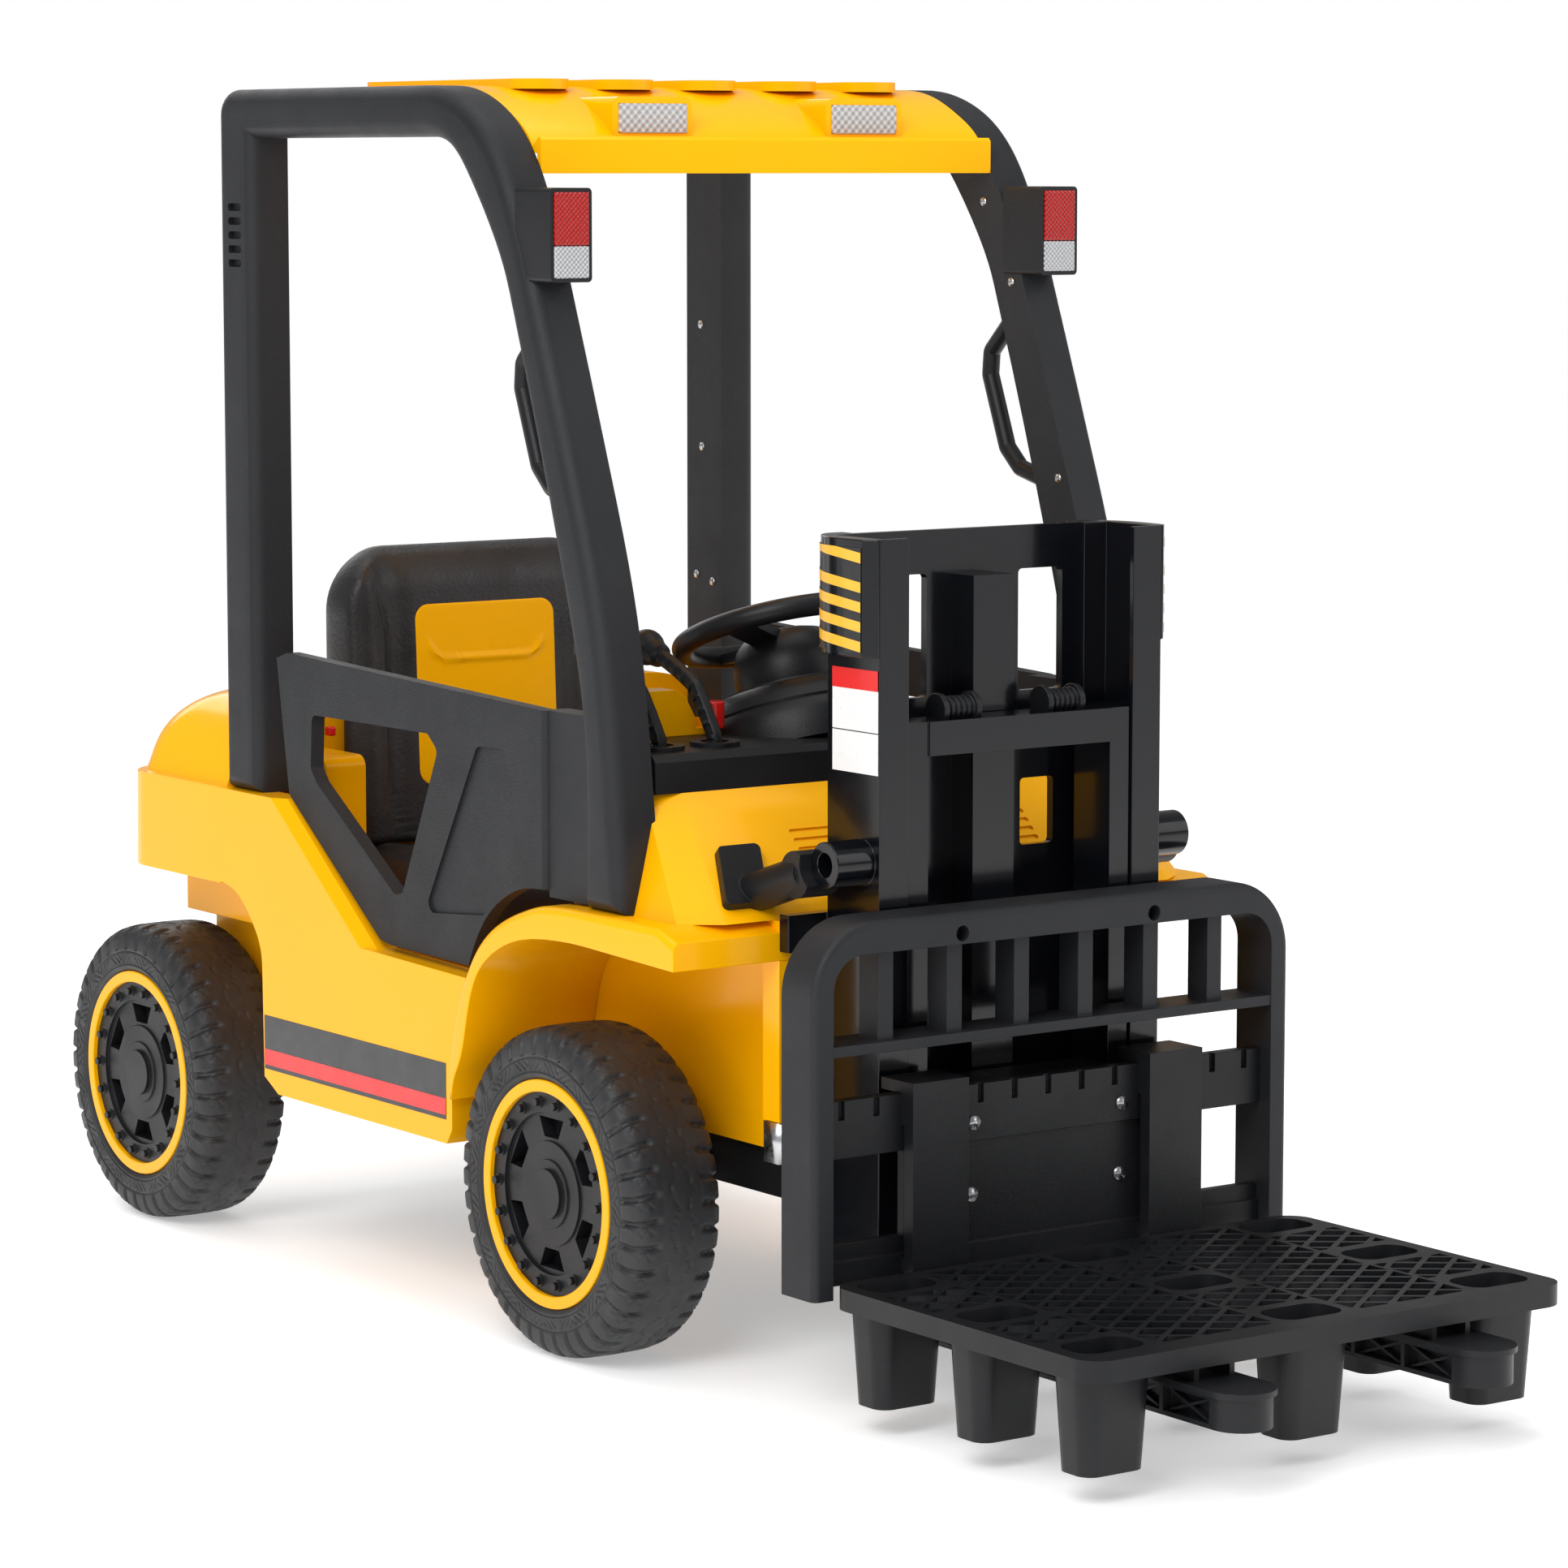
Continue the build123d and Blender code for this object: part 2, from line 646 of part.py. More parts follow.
# ---------------------------------------------------------------- roof canopy
def canopy_section():
    """Side view of the canopy shell: flat roof, curved brow and upright visor."""
    top = GUARD_TOP_Z
    wall = CANOPY_WALL
    rear = CANOPY_REAR_Y
    return make_face([
        Polyline((rear, top - wall), (rear, top), (152, top)),
        Spline((152, top), (98, 1090), (57, 1071), (26, 1045), tangents=[(-1, 0), (-0.55, -0.83)]),
        Polyline((26, 1045), (VISOR_Y + 3, 1053), (VISOR_Y, 1050), (VISOR_Y, VISOR_BOTTOM_Z),
                 (VISOR_Y + wall, VISOR_BOTTOM_Z), (VISOR_Y + wall, 1038), (31, 1040)),
        Spline((31, 1040), (62, 1064), (101, 1083.5), (152, top - wall),
               tangents=[(0.55, 0.83), (1, 0)]),
        Line((152, top - wall), (rear, top - wall)),
    ])


canopy = across(canopy_section(), CANOPY_HALF_WIDTH)
rib_base = GUARD_TOP_Z - CANOPY_WALL / 2
for rib_x in RIB_X:
    canopy += rounded_block(rib_x - RIB_HALF_WIDTH, rib_x + RIB_HALF_WIDTH, *RIB_Y,
                            rib_base, GUARD_TOP_Z + RIB_HEIGHT, RIB_ROUNDING, Axis.Z)
headlights = []
for side in (-1, 1):
    x0, x1 = side * POD_X - POD_HALF, side * POD_X + POD_HALF
    pod = rounded_block(x0 - POD_WALL, x1 + POD_WALL, POD_FACE_Y, POD_BACK_Y, *POD_Z, 8, Axis.Y)
    pocket = block(x0, x1, POD_FACE_Y - 1, POD_FACE_Y + LAMP_POCKET, *HEADLIGHT_Z)
    canopy = canopy + pod - pocket
    headlights.append(rounded_block(x0, x1, POD_FACE_Y - LENS_PROUD, POD_FACE_Y + LAMP_POCKET,
                                    *HEADLIGHT_Z, 3, Axis.Y))
save("roof_canopy", canopy)
save_group("headlight_lenses", headlights)


# ---------------------------------------------------------------- fenders and cowl
def fender_outline():
    """Side view of the front fender: an arch band running into a flat shelf."""
    return make_face([
        Spline((94, 205), (65, 317), (42, 349), (2, 376), (-37, 390), (-102, FENDER_TOP_Z),
               tangents=[(-0.05, 1), (-1, 0.03)]),
        Polyline((-102, FENDER_TOP_Z), (-240, FENDER_TOP_Z), (SHELF_FRONT_Y, 388),
                 (SHELF_FRONT_Y, 364), (-127, 369)),
        Spline((-127, 369), (-76, 368), (-24, 361), (16, 345), (43, 322), (73, 240), (86, 205),
               tangents=[(1, 0.02), (0.05, -1)]),
        Line((86, 205), (94, 205)),
    ])


fender = extrude_side(fender_outline(), FENDER_INNER, FENDER_HALF_WIDTH)
crown = [e for e in fender.edges() if e.center().X < -FENDER_HALF_WIDTH + 0.01
         and max(e.position_at(0).Z, e.position_at(1).Z) > FENDER_TOP_Z - 1]
fender = fillet(crown, FENDER_ROUNDING)
fender -= guard + liner


def cowl_ring(z, half_width, side_y, front_half, front_y):
    """Plan outline of the nose cowl at one height."""
    outline = polygon([(-half_width, COWL_REAR_Y), (-half_width, side_y), (-front_half, front_y),
                       (front_half, front_y), (half_width, side_y), (half_width, COWL_REAR_Y)])
    return Pos(0, 0, z) * outline


cowl_outer = loft([cowl_ring(FENDER_TOP_Z, 272, -232, 239, -257),
                   cowl_ring(COWL_TOP_Z, 242, -140, 213, -154)], ruled=True)
cowl_hollow = loft([cowl_ring(FENDER_TOP_Z - 1, 266, -226, 234, -249),
                    cowl_ring(COWL_TOP_Z - COWL_WALL, 236, -134, 208, -146)], ruled=True)
cowl = cowl_outer - cowl_hollow
cowl -= block(-FAR, FAR, COWL_REAR_Y - 8, 0, FENDER_TOP_Z - 2, COWL_TOP_Z + 1)
slope = Plane(origin=SLOPE_CENTRE, x_dir=(1, 0, 0), z_dir=SLOPE_NORMAL)
for side in (-1, 1):
    for index in range(COWL_VENTS):
        spot = slope * Pos(side * COWL_VENT_X, COWL_VENT_PITCH * (index - COWL_VENTS // 2))
        cowl -= extrude(spot * SlotOverall(COWL_VENT_LENGTH, COWL_VENT_WIDTH), amount=2, both=True)
well_inner = WELL_WALL - PANEL_WALL
cowl += block(-FLANGE_HALF_WIDTH, FLANGE_HALF_WIDTH, SHELF_FRONT_Y, NOSE_BACK_Y,
              FLANGE_BOTTOM_Z, FENDER_TOP_Z)
well_walls = block(-WELL_WALL, WELL_WALL, NOSE_BACK_Y, WELL_REAR_Y, TRAY_TOP_Z + 2, FENDER_TOP_Z)
well_walls -= block(-well_inner, well_inner, NOSE_BACK_Y + PANEL_WALL, WELL_REAR_Y + 1,
                    TRAY_TOP_Z, FENDER_TOP_Z - PANEL_WALL)
well_walls -= block(-well_inner, well_inner, COWL_REAR_Y, WELL_REAR_Y + 1, TRAY_TOP_Z, FENDER_TOP_Z + 1)
cowl += well_walls
cowl -= both_sides(fender) + both_sides(guard) + both_sides(liner)
cowl = main_solid(cowl)
save_pair("fender", fender)
save("nose_cowl", cowl)

# ---------------------------------------------------------------- dash
tilt = math.radians(STEER_TILT)
steer_plane = Plane(origin=(0, STEER_CENTRE_Y, STEER_CENTRE_Z), x_dir=(1, 0, 0),
                    z_dir=(0, math.sin(tilt), math.cos(tilt)))


def steer_cone(low, low_radius, top, top_radius):
    """Cone frustum on the steering axis, with offsets measured from the wheel's plane."""
    low_ring = steer_plane * Pos(0, 0, low) * Circle(low_radius)
    top_ring = steer_plane * Pos(0, 0, top) * Circle(top_radius)
    return loft([low_ring, top_ring])


dash_skin = DASH_TOP_Z - PANEL_WALL
dash = block(-DASH_HALF_WIDTH, DASH_HALF_WIDTH, DASH_FRONT_Y, DASH_REAR_Y, COWL_TOP_Z, DASH_TOP_Z)
dash = chamfer(dash.edges().filter_by(Axis.X).group_by(Axis.Z)[-1], DASH_EDGE)
dash -= block(-DASH_HALF_WIDTH + PANEL_WALL, DASH_HALF_WIDTH - PANEL_WALL,
              DASH_FRONT_Y + PANEL_WALL, DASH_REAR_Y + 1, COWL_TOP_Z - 1, dash_skin)
shroud = steer_cone(SHROUD_LOW, SHROUD_LOW_R, SHROUD_TOP, SHROUD_TOP_R)
dash += shroud - block(-FAR, FAR, -FAR, FAR, 0, dash_skin)
dash += block(*POD_BOX)
column_hole = extrude(steer_plane * Circle(COLUMN_R + RUNNING_GAP), amount=COLUMN_END - 40)
dash -= column_hole
for lever_x in LEVER_X:
    cheek_in = LEVER_R + CHEEK_GAP
    for x0, x1 in ((lever_x - LEVER_HOLE_R, lever_x - cheek_in), (lever_x + cheek_in, lever_x + LEVER_HOLE_R)):
        dash += block(x0, x1, LEVER_Y - LEVER_HOLE_R, LEVER_Y + LEVER_HOLE_R, COWL_TOP_Z, dash_skin + 1)
    dash += rod_z(lever_x, LEVER_Y, dash_skin + 1, DASH_TOP_Z + LEVER_BASE_HEIGHT, LEVER_BASE_R)
    dash -= rod_z(lever_x, LEVER_Y, dash_skin, DASH_TOP_Z + LEVER_BASE_HEIGHT + 1, LEVER_HOLE_R)
    dash -= rod_x(lever_x - LEVER_PIVOT_HALF, lever_x + LEVER_PIVOT_HALF, LEVER_Y, LEVER_PIVOT_Z,
                  LEVER_PIVOT_R + RUNNING_GAP)
button_top = POD_BOX[5]
button_base = button_top - BUTTON_DEPTH
dash -= rod_z(BUTTON_X, BUTTON_Y, dash_skin - 1, button_top + 1, BUTTON_R + BUTTON_GAP)
save("dash_cover", main_solid(dash))
console_face = polygon([
    (-190, DASH_TOP_Z), (-190, 571), (-138, 571), (-127, 564), (-117, 546), (-90, 541),
    (-78, DASH_TOP_Z),
])
console_plane = Plane(origin=(0, DASH_REAR_Y, 0), x_dir=(1, 0, 0), z_dir=(0, -1, 0))
console = extrude(console_plane * console_face, amount=DASH_REAR_Y - CONSOLE_FRONT_Y)
console -= steer_cone(SHROUD_LOW, SHROUD_LOW_R, SHROUD_TOP, SHROUD_TOP_R) + block(*POD_BOX)
console -= rod_z(BUTTON_X, BUTTON_Y, DASH_TOP_Z - 1, button_top, BUTTON_R + BUTTON_GAP)
save("dash_console", main_solid(console))


def make_lever(x):
    """Control lever: pivot barrel, bent stem and round knob."""
    stem = swept([(x, LEVER_Y, LEVER_PIVOT_Z + 4), (x, LEVER_Y, DASH_TOP_Z + 8), (x, -85, 577),
                  (x, -18, 604)], LEVER_R, 7)
    pivot = rod_x(x - LEVER_PIVOT_HALF + 1, x + LEVER_PIVOT_HALF - 1, LEVER_Y, LEVER_PIVOT_Z, LEVER_PIVOT_R)
    knob = Pos(x, -8, 607) * Sphere(KNOB_R)
    return stem + pivot + knob


save("lever_gear", make_lever(LEVER_X[0]))
save("lever_lift", make_lever(LEVER_X[1]))
save("start_button", rod_z(BUTTON_X, BUTTON_Y, button_base, button_top + BUTTON_PROUD, BUTTON_R))

steering = steer_plane * Torus(STEER_R, STEER_TUBE_R)
for angle in SPOKE_ANGLES:
    spoke = block(-SPOKE_WIDTH / 2, SPOKE_WIDTH / 2, 0, STEER_R, 0, SPOKE_THICKNESS)
    steering += steer_plane * Rot(0, 0, angle) * Pos(0, 0, SPOKE_DROP) * Rot(SPOKE_RISE, 0, 0) * spoke
steering += steer_cone(HORN_LOW, HORN_LOW_R, HORN_TOP, HORN_TOP_R)
steering += extrude(steer_plane * Pos(0, 0, HORN_LOW + 1) * Circle(COLUMN_R), amount=COLUMN_END - HORN_LOW)
save("steering_wheel", steering)


# ---------------------------------------------------------------- body
def body_outline():
    """Side view of the body side: sill, door sill, ledge and rear wheel arch."""
    arch_top = LEDGE_Z - 88
    return make_face([
        Polyline((104, SILL_Z), (404, SILL_Z), (430, 176), (432, 281)),
        Spline((432, 281), (444, 313), (470, 339), (523, 353), tangents=[(0.02, 1), (1, 0.05)]),
        Polyline((523, 353), (640, arch_top), (640, LEDGE_Z), (397, LEDGE_Z), (236, 320), (70, 316),
                 (82, 240), (94.5, 205), (94.5, 176), (104, SILL_Z)),
    ])


def hood_ring(z, half_width, rear_y):
    """Plan outline of the rear hood at one height, with rounded rear corners."""
    outline = polygon([(-half_width, HOOD_FRONT_Y), (-half_width, rear_y),
                       (half_width, rear_y), (half_width, HOOD_FRONT_Y)])
    return Pos(0, 0, z) * fillet(outline.vertices().group_by(Axis.Y)[-1], HOOD_CORNER_R)


well_in = REAR_WELL - PLATE_THICKNESS
well_rear = REAR_WELL_REAR_Y - PLATE_THICKNESS
body = extrude_side(body_outline(), BODY_SKIN_INNER, BODY_HALF_WIDTH)
door_sill = [e for e in body.edges() if e.center().X < -BODY_HALF_WIDTH + 0.01
             and LEDGE_Z - 120 < e.center().Z < LEDGE_Z - 2 and 150 < e.center().Y < 330]
body = chamfer(door_sill, SILL_CHAMFER)
body -= fender + block(-FAR, FAR, HOOD_FRONT_Y, FAR, HOOD_BOTTOM_Z - 50, FAR)
body = both_sides(body)
body += block(-BODY_SKIN_INNER, BODY_SKIN_INNER, BULKHEAD_Y, BULKHEAD_Y + PANEL_WALL,
              TRAY_TOP_Z, SEAT_BASE_Z - 8)
body += block(-REAR_WELL, REAR_WELL, BULKHEAD_Y, REAR_WELL_REAR_Y, TRAY_TOP_Z, HOOD_BOTTOM_Z)
body += block(-REAR_WELL_SHELF, REAR_WELL_SHELF, 432, REAR_WELL_REAR_Y, REAR_WELL_SHELF_Z, HOOD_BOTTOM_Z)
body += block(-BODY_SKIN_INNER, BODY_SKIN_INNER, 432, REAR_WELL_REAR_Y,
              HOOD_BOTTOM_Z - PLATE_THICKNESS, HOOD_BOTTOM_Z)
body -= block(-well_in, well_in, BULKHEAD_Y + PANEL_WALL, well_rear, TRAY_TOP_Z - 1, HOOD_BOTTOM_Z + 1)
body -= block(-ARM_OUTER, ARM_OUTER, BULKHEAD_Y - 4, HOOD_FRONT_Y, ARM_BOTTOM_Z, HOOD_BOTTOM_Z + 1)
hood = loft([hood_ring(HOOD_BOTTOM_Z, HOOD_BASE_HALF_WIDTH, HOOD_REAR_Y),
             hood_ring(LEDGE_Z, HOOD_BASE_HALF_WIDTH, HOOD_REAR_Y - 3)], ruled=True)
hood += loft([hood_ring(*level) for level in HOOD_DOME])
hollow_half, hollow_rear, hollow_top = HOOD_HOLLOW
hood -= block(-hollow_half, hollow_half, HOOD_FRONT_Y + PANEL_WALL, hollow_rear,
              HOOD_BOTTOM_Z - 1, hollow_top)
save("rear_hood", hood)
save("body_shell", body)

# ---------------------------------------------------------------- cab
tub = block(-well_inner, well_inner, NOSE_BACK_Y + PANEL_WALL, WELL_REAR_Y + 1, FLOOR_Z, FLOOR_Z + FLOOR_THICKNESS)
tub += block(-TUB_HALF_WIDTH, TUB_HALF_WIDTH, WELL_REAR_Y, TUB_REAR_Y, FLOOR_Z, FLOOR_Z + FLOOR_THICKNESS)
for side in (-1, 1):
    wall_x = sorted((side * TUB_HALF_WIDTH, side * (TUB_HALF_WIDTH - TUB_WALL)))
    end_x = sorted((side * TUB_HALF_WIDTH, side * WELL_WALL))
    arm_x = sorted((side * ARM_OUTER, side * ARM_INNER))
    tub += block(*wall_x, WELL_REAR_Y, TUB_REAR_Y, FLOOR_Z, TUB_RIM_Z)
    tub += block(*end_x, WELL_REAR_Y, WELL_REAR_Y + TUB_WALL, FLOOR_Z, TUB_RIM_Z)
    arm = block(*arm_x, ARM_FRONT_Y, HOOD_FRONT_Y - 1, ARM_BOTTOM_Z, ARM_TOP_Z)
    tub += fillet(arm.edges().filter_by(Axis.X).sort_by(Axis.Z)[-2:], ARM_ROUNDING)
pedestal = block(-SEAT_HALF, SEAT_HALF, PEDESTAL_FRONT_Y, TUB_REAR_Y, FLOOR_Z, SEAT_BASE_Z)
pedestal -= block(-SEAT_HALF + PANEL_WALL, SEAT_HALF - PANEL_WALL, PEDESTAL_FRONT_Y + PANEL_WALL, TUB_REAR_Y + 1,
                  FLOOR_Z + FLOOR_THICKNESS, SEAT_BASE_Z - PANEL_WALL)
tub += pedestal
tub += block(-ARM_OUTER, ARM_OUTER, TUB_REAR_Y - PANEL_WALL, HOOD_FRONT_Y - 1, ARM_BOTTOM_Z, SEAT_BASE_Z)
tub -= body + both_sides(fender) + cowl
save("cab_tub", main_solid(tub))


# ---------------------------------------------------------------- seat
def seat_back_outline():
    """Side view of the backrest, raked and rounded at the top."""
    face = SEAT_BACK_FACE_Y
    rear = SEAT_BACK_REAR_Y
    foot = SEAT_BASE_Z + CUSHION_HEIGHT + 2
    sill = HOOD_TOP_Z + 1
    return make_face([
        Line((face, foot), (face + 8, 560)),
        Spline((face + 8, 560), (face + 13, 640), (face + 30, SEAT_TOP_Z), (rear, 640), (rear, 600),
               tangents=[(0.03, 1), (0, -1)]),
        Polyline((rear, 600), (rear, sill), (HOOD_FRONT_Y - 1, sill), (HOOD_FRONT_Y - 1, foot), (face, foot)),
    ])


seat_back = across(seat_back_outline(), SEAT_HALF)
seat_back &= rounded_block(-SEAT_HALF, SEAT_HALF, 0, FAR, SEAT_BASE_Z - SEAT_CORNER_R, SEAT_TOP_Z + 4,
                           SEAT_CORNER_R, Axis.Y)
insert_plane = Plane(origin=(0, 0, (INSERT_BOTTOM_Z + INSERT_TOP_Z) / 2), x_dir=(1, 0, 0), z_dir=(0, 1, 0))
insert_shape = RectangleRounded(INSERT_WIDTH, INSERT_TOP_Z - INSERT_BOTTOM_Z, INSERT_CORNER_R)
insert = seat_back & extrude(insert_plane * insert_shape, amount=SEAT_BACK_FACE_Y + INSERT_DEPTH)
save("seat_insert", insert)
save("seat_shell", seat_back - insert)
cushion = rounded_block(-SEAT_HALF, SEAT_HALF, CUSHION_FRONT_Y, HOOD_FRONT_Y - 3,
                        SEAT_BASE_Z, SEAT_BASE_Z + CUSHION_HEIGHT, CUSHION_CORNER_R, Axis.Z)
save("seat_cushion", fillet(cushion.edges().group_by(Axis.Z)[-1], 10))


# ---------------------------------------------------------------- doors
def door_outline():
    """Side view of a door: level waist line, raked rear edge, cut round the fender."""
    bottom, top = HINGE_Z
    return make_face([
        Polyline((HINGE_Y, top), (400, 578), (419, 572), (398, 446), (236, 329), (217, 326), (84, 324)),
        Spline((84, 324), (69, 352), (47, 377), (8, 399), (HINGE_Y, bottom), tangents=[(-0.4, 1), (-1, 0.05)]),
        Line((HINGE_Y, bottom), (HINGE_Y, top)),
    ])


window = polygon([(355, 524), (151, 525), (134, 511), (196, 376), (209, 373), (348, 462), (358, 474)])
window = fillet(window.vertices(), WINDOW_CORNER_R)
recess = polygon([(68, 521), (24, 523), (-8, 416), (60, 372), (148, 364), (152, 374)])
recess = fillet(recess.vertices(), RECESS_CORNER_R)
door = extrude_side(door_outline(), DOOR_INNER, DOOR_OUTER)
door -= extrude_side(window, DOOR_INNER - 1, DOOR_OUTER + 1)
door -= extrude_side(recess, DOOR_OUTER - DOOR_RECESS, DOOR_OUTER + 1)
door += hinge_rod(HINGE_R, *HINGE_Z)
save_pair("door", door)

# ---------------------------------------------------------------- chassis
tray = block(-TRAY_HALF_WIDTH, TRAY_HALF_WIDTH, TRAY_FRONT_Y, TRAY_REAR_Y, TRAY_BOTTOM_Z, TRAY_TOP_Z)
tray -= block(-TRAY_HALF_WIDTH + TRAY_WALL, TRAY_HALF_WIDTH - TRAY_WALL, TRAY_FRONT_Y + TRAY_WALL,
              TRAY_REAR_Y - TRAY_WALL, TRAY_BOTTOM_Z + TRAY_WALL, TRAY_TOP_Z + 1)
save("chassis_tray", tray)

brackets = [block(-FLANGE_HALF_WIDTH, FLANGE_HALF_WIDTH, TRAY_FRONT_Y - 2, NOSE_BACK_Y - 1,
                  TRAY_TOP_Z, FLANGE_BOTTOM_Z - 1)]
for y0, y1 in OUTRIGGER_Y:
    outrigger = block(-BODY_SKIN_INNER, -TRAY_HALF_WIDTH, y0, y1, OUTRIGGER_BOTTOM_Z, TRAY_TOP_Z)
    brackets += [outrigger, other_side(outrigger)]
save_group("body_brackets", brackets)

lug_reach = KNUCKLE_HALF_HEIGHT + LUG_GAP
bracket_half = lug_reach + LUG_THICKNESS
kingpin_bracket = block(-TRAY_HALF_WIDTH - LUG_PLATE, -TRAY_HALF_WIDTH, FRONT_AXLE_Y - LUG_R,
                        FRONT_AXLE_Y + LUG_R, AXLE_Z - bracket_half, AXLE_Z + bracket_half)
for low in (AXLE_Z - bracket_half, AXLE_Z + lug_reach):
    kingpin_bracket += block(-KINGPIN_X, -TRAY_HALF_WIDTH, FRONT_AXLE_Y - LUG_R, FRONT_AXLE_Y + LUG_R,
                             low, low + LUG_THICKNESS)
    kingpin_bracket += rod_z(-KINGPIN_X, FRONT_AXLE_Y, low, low + LUG_THICKNESS, LUG_R)
kingpin_bracket -= rod_z(-KINGPIN_X, FRONT_AXLE_Y, 0, FLOOR_Z, KINGPIN_R + RUNNING_GAP)
save_group("kingpin_brackets", [kingpin_bracket, other_side(kingpin_bracket)])

rear_axle = block(-AXLE_BRACKET_OUTER, -TRAY_HALF_WIDTH, REAR_AXLE_Y - 30, REAR_AXLE_Y + 26,
                  AXLE_BRACKET_BOTTOM_Z, TRAY_TOP_Z - 1)
rear_axle += rod_x(-AXLE_END, -TRAY_HALF_WIDTH, REAR_AXLE_Y, AXLE_Z, AXLE_R)
save_group("rear_axles", [rear_axle, other_side(rear_axle)])

save("battery", rounded_block(*BATTERY_BOX, 4, Axis.Z))
gearbox = rounded_block(-GEARBOX_X[1], -GEARBOX_X[0], *GEARBOX_Y, *GEARBOX_Z, GEARBOX_ROUNDING, Axis.X)
gearbox -= rod_x(-GEARBOX_X[1] - 1, -GEARBOX_X[0] + 1, REAR_AXLE_Y, AXLE_Z, AXLE_R + LUG_GAP)
save_group("gearboxes", [gearbox, other_side(gearbox)])

pedal = block(*PEDAL_X, -PEDAL_THICKNESS / 2, PEDAL_THICKNESS / 2, 0, PEDAL_LENGTH)
pedal = Pos(0, PEDAL_Y, PEDAL_Z) * Rot(-PEDAL_LEAN, 0, 0) * pedal
pedal += rod_x(PEDAL_X[0] - 3, PEDAL_X[1] + 3, PEDAL_Y, PEDAL_Z, PEDAL_PIVOT_R)
save("pedal", pedal)

# ---------------------------------------------------------------- mast
post = block(-POST_OUTER, -POST_OUTER + POST_WALL, POST_FRONT_Y, POST_REAR_Y, MAST_BOTTOM_Z, MAST_TOP_Z)
for y0 in (POST_FRONT_Y, POST_REAR_Y - POST_WALL):
    post += block(-POST_OUTER, -POST_INNER, y0, y0 + POST_WALL, MAST_BOTTOM_Z, MAST_TOP_Z)
post += rod_x(-BOSS_END, -POST_OUTER, BOSS_Y, BOSS_Z, BOSS_R)
post -= rod_x(-BOSS_END - 1, -BOSS_END + BOSS_HOLE_DEPTH, BOSS_Y, BOSS_Z, BOSS_HOLE_R)
for flange_x, z0, z1 in MAST_FLANGES:
    post += block(-flange_x, -POST_INNER, POST_REAR_Y, SHELF_FRONT_Y, z0, z1)
save_group("mast_posts", [post, other_side(post)])

plate = block(-POST_INNER, POST_INNER, PLATE_FRONT_Y, PLATE_REAR_Y, MAST_BOTTOM_Z, MAST_TOP_Z)
for x0, x1, z0, z1 in MAST_WINDOWS:
    plate -= both_sides(rounded_block(-x1, -x0, PLATE_FRONT_Y - 1, PLATE_REAR_Y + 1, z0, z1,
                                      MAST_WINDOW_R, Axis.Y))
plate += block(-COLUMN_HALF_WIDTH, COLUMN_HALF_WIDTH, COLUMN_FRONT_Y, PLATE_FRONT_Y,
               MAST_BOTTOM_Z, COLUMN_TOP_Z)
save("mast_plate", plate)

sleeve_plan = make_face([
    Polyline((-POST_OUTER, POST_FRONT_Y), (-152, POST_FRONT_Y), (-161, -342), (-163, -318)),
    Spline((-163, -318), (-159, -285), (-146, -264), (-128, SLEEVE_BACK_Y), tangents=[(0, 1), (1, 0.1)]),
    Polyline((-128, SLEEVE_BACK_Y), (-POST_INNER, SLEEVE_BACK_Y), (-POST_INNER, POST_REAR_Y),
             (-POST_OUTER, POST_REAR_Y), (-POST_OUTER, POST_FRONT_Y)),
])
sleeve = extrude(Pos(0, 0, SLEEVE_BOTTOM_Z) * sleeve_plan, amount=MAST_TOP_Z - SLEEVE_BOTTOM_Z)
save_group("mast_sleeves", [sleeve, other_side(sleeve)])

tilt_plate = fillet(polygon([(-213, -5), (-170, -5), (-192, -67), (-235, -67)]).vertices(), 5)
cylinder = extrude(slope * Pos(0, 10) * tilt_plate, amount=TILT_PLATE_HEIGHT)
cylinder += rod_between((-200, -222, 414), (-186, -300, 442), CYLINDER_R)
cylinder += rod_x(-200, -166, -300, 442, CYLINDER_EYE_R)
cylinder -= rod_x(-FAR, -140, BOSS_Y, BOSS_Z, BOSS_R)
cylinder -= cowl + fender + guard + post
cylinder = main_solid(cylinder)
save_group("tilt_cylinders", [cylinder, other_side(cylinder)])

# ---------------------------------------------------------------- inner mast
rail = block(-INNER_RAIL_OUT, -INNER_RAIL_IN, *INNER_RAIL_Y, INNER_BOTTOM_Z, INNER_TOP_Z)
rail += block(-INNER_TONGUE_OUT, -INNER_RAIL_OUT, *INNER_TONGUE_Y, INNER_BOTTOM_Z, INNER_TOP_Z)
inner = both_sides(rail)
inner += block(-INNER_RAIL_IN, INNER_RAIL_IN, *INNER_BAR_Y, INNER_BAR_Z, INNER_TOP_Z)
inner += block(-INNER_RAIL_IN, INNER_RAIL_IN, INNER_BAR_Y[0], INNER_CAP_REAR_Y,
               INNER_TOP_Z - INNER_CAP_THICKNESS, INNER_TOP_Z)
inner += block(-INNER_RAIL_IN, INNER_RAIL_IN, INNER_RAIL_Y[0], INNER_CAP_REAR_Y,
               INNER_BOTTOM_Z, INNER_BOTTOM_Z + INNER_FOOT_HEIGHT)
pulleys = []
